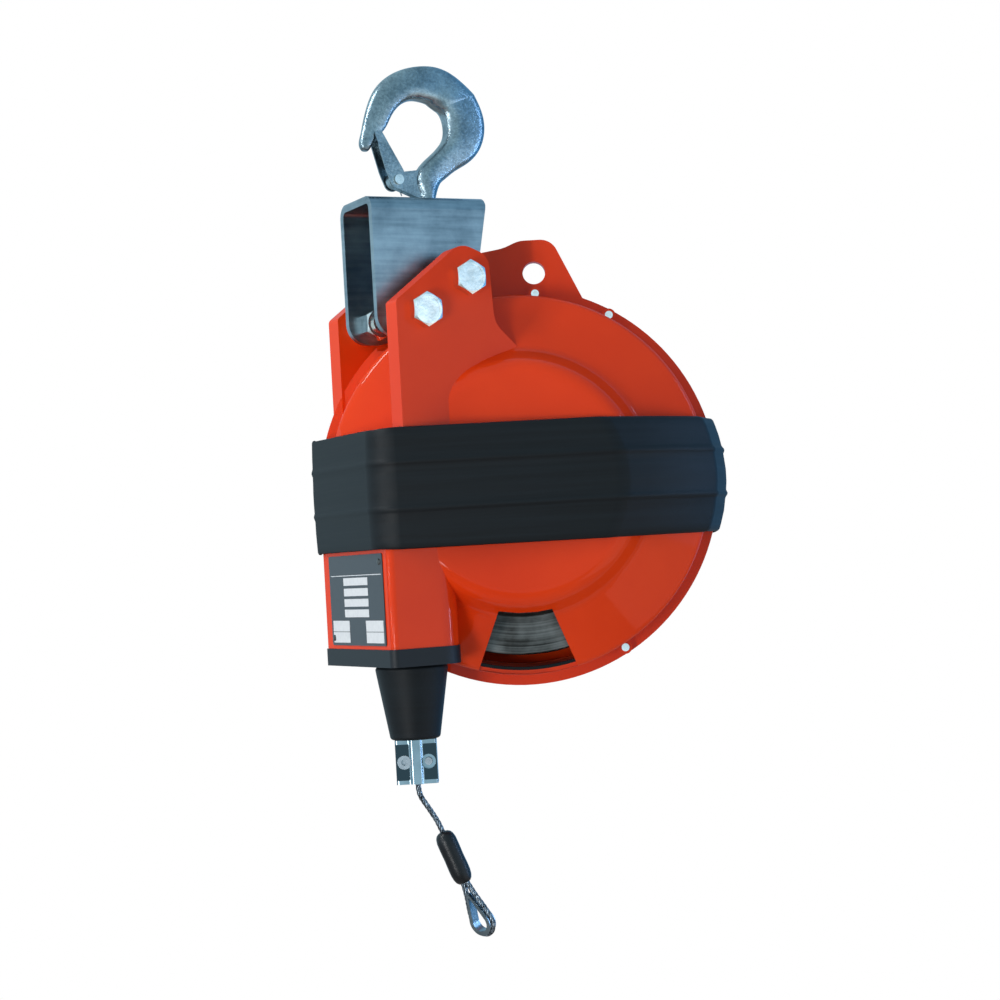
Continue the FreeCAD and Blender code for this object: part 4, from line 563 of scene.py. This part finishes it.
nylon, tree, shader = finish_named("moulded_nylon")
where = node(tree, "ShaderNodeTexCoord")
grain = node(tree, "ShaderNodeTexNoise", [("Scale", 700.0), ("Detail", 2.0)], Vector=(where, "Object"))
bump = node(tree, "ShaderNodeBump", [("Strength", 0.15), ("Distance", 0.0003)], Height=(grain, "Fac"))
tree.links.new(bump.outputs["Normal"], shader.inputs["Normal"])
shader.inputs["Base Color"].default_value = tint("0C1015")
shader.inputs["Roughness"].default_value = 0.5
shader.inputs["Specular IOR Level"].default_value = 0.3
give(nylon, "outlet_plate")

bush, tree, shader = finish_named("natural_nylon")
where = node(tree, "ShaderNodeTexCoord")
grain = node(tree, "ShaderNodeTexNoise", [("Scale", 300.0), ("Detail", 2.0)], Vector=(where, "Object"))
shade = node(tree, "ShaderNodeValToRGB", Fac=(grain, "Fac"))
shade.color_ramp.elements[0].color, shade.color_ramp.elements[1].color = tint("D9D5C8"), tint("E8E5DA")
tree.links.new(shade.outputs["Color"], shader.inputs["Base Color"])
shader.inputs["Roughness"].default_value = 0.45
give(bush, "guide_bush")

# Data plate -----------------------------------------------------------------------------------------
# A charcoal anodised plate riveted to the neck's side.  Its fields are silk-screened in white and have
# nothing written in them.

charcoal, tree, shader = finish_named("charcoal_anodising")
where = node(tree, "ShaderNodeTexCoord")
grain = node(tree, "ShaderNodeTexNoise", [("Scale", 500.0), ("Detail", 2.0)], Vector=(where, "Object"))
shade = node(tree, "ShaderNodeValToRGB", Fac=(grain, "Fac"))
shade.color_ramp.elements[0].color, shade.color_ramp.elements[1].color = tint("25282D"), tint("2F3339")
tree.links.new(shade.outputs["Color"], shader.inputs["Base Color"])
shader.inputs["Roughness"].default_value = 0.36
give(charcoal, "data_plate")

ink, tree, shader = finish_named("screened_white_ink")
where = node(tree, "ShaderNodeTexCoord")
grain = node(tree, "ShaderNodeTexNoise", [("Scale", 300.0), ("Detail", 2.0)], Vector=(where, "Object"))
shade = node(tree, "ShaderNodeValToRGB", Fac=(grain, "Fac"))
shade.color_ramp.elements[0].color, shade.color_ramp.elements[1].color = tint("C9CED3"), tint("DDE1E4")
tree.links.new(shade.outputs["Color"], shader.inputs["Base Color"])
shader.inputs["Roughness"].default_value = 0.4

plate_low, plate_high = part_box("data_plate")
INK = 0.00012
# Each field by its two corners: shares of the plate's depth from the back, and of its height from the foot.
FIELDS = [((0.27, 0.665), (0.72, 0.750)), ((0.27, 0.548), (0.72, 0.633)), ((0.27, 0.431), (0.72, 0.516)),
          ((0.27, 0.314), (0.72, 0.399)), ((0.03, 0.155), (0.345, 0.275)), ((0.03, 0.030), (0.345, 0.148)),
          ((0.655, 0.155), (0.97, 0.275)), ((0.655, 0.030), (0.97, 0.148)), ((0.03, 0.772), (0.97, 0.780))]
wide, high = plate_high[1] - plate_low[1], plate_high[2] - plate_low[2]
made = bmesh.new()
for (first, foot_of), (last, top_of) in FIELDS:
    middle = (plate_low[0] - INK / 2, plate_high[1] - wide * (first + last) / 2,
              plate_low[2] + high * (foot_of + top_of) / 2)
    sizes = (INK, wide * (last - first), high * (top_of - foot_of), 1.0)
    bmesh.ops.create_cube(made, size=1.0, matrix=Matrix.Translation(middle) @ Matrix.Diagonal(sizes))
bmesh.ops.recalc_face_normals(made, faces=made.faces)
fields = settle(made, "blank_plate_fields")
give(ink, "blank_plate_fields")
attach(fields, "housing")

# Clamp ----------------------------------------------------------------------------------------------
# Two bright nickel-plated pressings screwed together over the rope.  Their sunk faces carry a painted dark
# reflection.

nickel, tree, shader = finish_named("nickel_plating_with_painted_reflection")
where = node(tree, "ShaderNodeTexCoord")
cloud = node(tree, "ShaderNodeTexNoise", [("Scale", 60.0), ("Detail", 3.0)], Vector=(where, "Object"))
shade = node(tree, "ShaderNodeValToRGB", Fac=(cloud, "Fac"))
shade.color_ramp.elements[0].color, shade.color_ramp.elements[1].color = tint("77878D"), tint("B4C4CA")
# How far the sunk faces lie from the hook's axis towards the front, along the drum's axis, and how near
# to that a place has to be.
SUNK, SUNK_WITHIN = 0.0455, 0.0007
front = (-math.sin(TURN), -math.cos(TURN), 0)
forward = node(tree, "ShaderNodeVectorMath", [("operation", "DOT_PRODUCT"), (1, front)], _0=(where, "Object"))
sunk = node(tree, "ShaderNodeMath", [("operation", "COMPARE"), (1, SUNK), (2, SUNK_WITHIN)],
            _0=(forward, "Value"))
# Painted dark reflection on the sunk faces, in place of the plating's colour.
painted_dark_mix = node(tree, "ShaderNodeMix", [("data_type", "RGBA"), (7, tint("3A474C"))], Factor=(sunk, "Value"),
            _6=(shade, "Color"))
tree.links.new(painted_dark_mix.outputs[2], shader.inputs["Base Color"])
shader.inputs["Metallic"].default_value = 1.0
shader.inputs["Roughness"].default_value = 0.16
give(nickel, "clamp_front", "clamp_back")

# Studio ---------------------------------------------------------------------------------------------
# A pale floor, clear of the rope at its full 2 m stroke, a backdrop that the camera sees as white, and
# soft area lamps, two of them narrow strips.

paper, tree, shader = finish_named("pale_paper")
fibre = node(tree, "ShaderNodeTexNoise", [("Scale", 60.0), ("Detail", 2.0)])
shade = node(tree, "ShaderNodeValToRGB", Fac=(fibre, "Fac"))
shade.color_ramp.elements[0].color, shade.color_ramp.elements[1].color = tint("E9E9E8"), tint("EDEDEC")
tree.links.new(shade.outputs["Color"], shader.inputs["Base Color"])
shader.inputs["Roughness"].default_value = 0.9
glow = node(tree, "ShaderNodeEmission", [("Color", (1, 1, 1, 1)), ("Strength", 1.0)])
seen = node(tree, "ShaderNodeLightPath")
mix = node(tree, "ShaderNodeMixShader", Fac=(seen, "Is Camera Ray"))
tree.links.new(shader.outputs["BSDF"], mix.inputs[1])
tree.links.new(glow.outputs["Emission"], mix.inputs[2])
output = [n for n in tree.nodes if n.type == "OUTPUT_MATERIAL"][0]
tree.links.new(mix.outputs["Shader"], output.inputs["Surface"])
FLOOR = -2.80
made = bmesh.new()
bmesh.ops.create_grid(made, x_segments=1, y_segments=1, size=6.0)
bmesh.ops.translate(made, verts=made.verts, vec=(0, 0, FLOOR))
floor = settle(made, "floor")
give(paper, "floor")

world = bpy.data.worlds.new("studio")
bpy.context.scene.world = world
world.use_nodes = True
tree = world.node_tree
tree.nodes.clear()
# Gloss and metal show pale blue from -X, a greyer blue from the middle and deep blue from +X.
facing = node(tree, "ShaderNodeTexCoord")
apart = node(tree, "ShaderNodeSeparateXYZ", Vector=(facing, "Generated"))
span = node(tree, "ShaderNodeMapRange", [("From Min", -1.0), ("From Max", 1.0)], Value=(apart, "X"))
room = node(tree, "ShaderNodeValToRGB", Fac=(span, "Result"))
room.color_ramp.elements[0].color = tint("BAD6E6")
room.color_ramp.elements[1].color = tint("4E9AD4")
between = room.color_ramp.elements.new(0.56)
between.color = tint("A4C2CE")
shown = node(tree, "ShaderNodeBackground", [("Strength", 1.4)], Color=(room, "Color"))
soft = node(tree, "ShaderNodeBackground", [("Color", tint("F2F3F5")), ("Strength", 0.36)])
white = node(tree, "ShaderNodeBackground", [("Color", (1, 1, 1, 1)), ("Strength", 1.0)])
seen = node(tree, "ShaderNodeLightPath")
glossed = node(tree, "ShaderNodeMixShader", Fac=(seen, "Is Glossy Ray"))
tree.links.new(soft.outputs["Background"], glossed.inputs[1])
tree.links.new(shown.outputs["Background"], glossed.inputs[2])
mix = node(tree, "ShaderNodeMixShader", Fac=(seen, "Is Camera Ray"))
tree.links.new(glossed.outputs["Shader"], mix.inputs[1])
tree.links.new(white.outputs["Background"], mix.inputs[2])
node(tree, "ShaderNodeOutputWorld", Surface=(mix, "Shader"))

# Every lamp faces the object's middle.  Each has its place, power, width, height and colour.
middle = Vector((0.03, -0.02, -0.30))
for name, spot, power, wide, high, colour in (
        ("key", (-2.1, -1.5, -0.9), 23.0, 0.6, 0.8, "FFFFFF"),
        ("strip", (-2.0, -0.35, 0.35), 16.0, 0.08, 1.8, "FFFFFF"),
        ("side", (1.8, -0.9, 0.0), 11.0, 0.12, 1.7, "A9CBFA"),
        ("low", (1.2, -1.8, -1.0), 12.0, 2.4, 2.4, "FFFFFF"),
        ("top", (-1.5, 0.3, 1.3), 16.0, 0.35, 0.7, "FFFFFF")):
    data = bpy.data.lights.new(name, "AREA")
    data.shape = "RECTANGLE"
    data.size, data.size_y = wide, high
    data.energy = power
    data.color = tint(colour)[:3]
    lamp = bpy.data.objects.new(name, data)
    lamp.location = spot
    lamp.rotation_euler = (middle - lamp.location).to_track_quat("-Z", "Y").to_euler()
    bpy.context.collection.objects.link(lamp)

bpy.context.scene.view_settings.view_transform = "Standard"
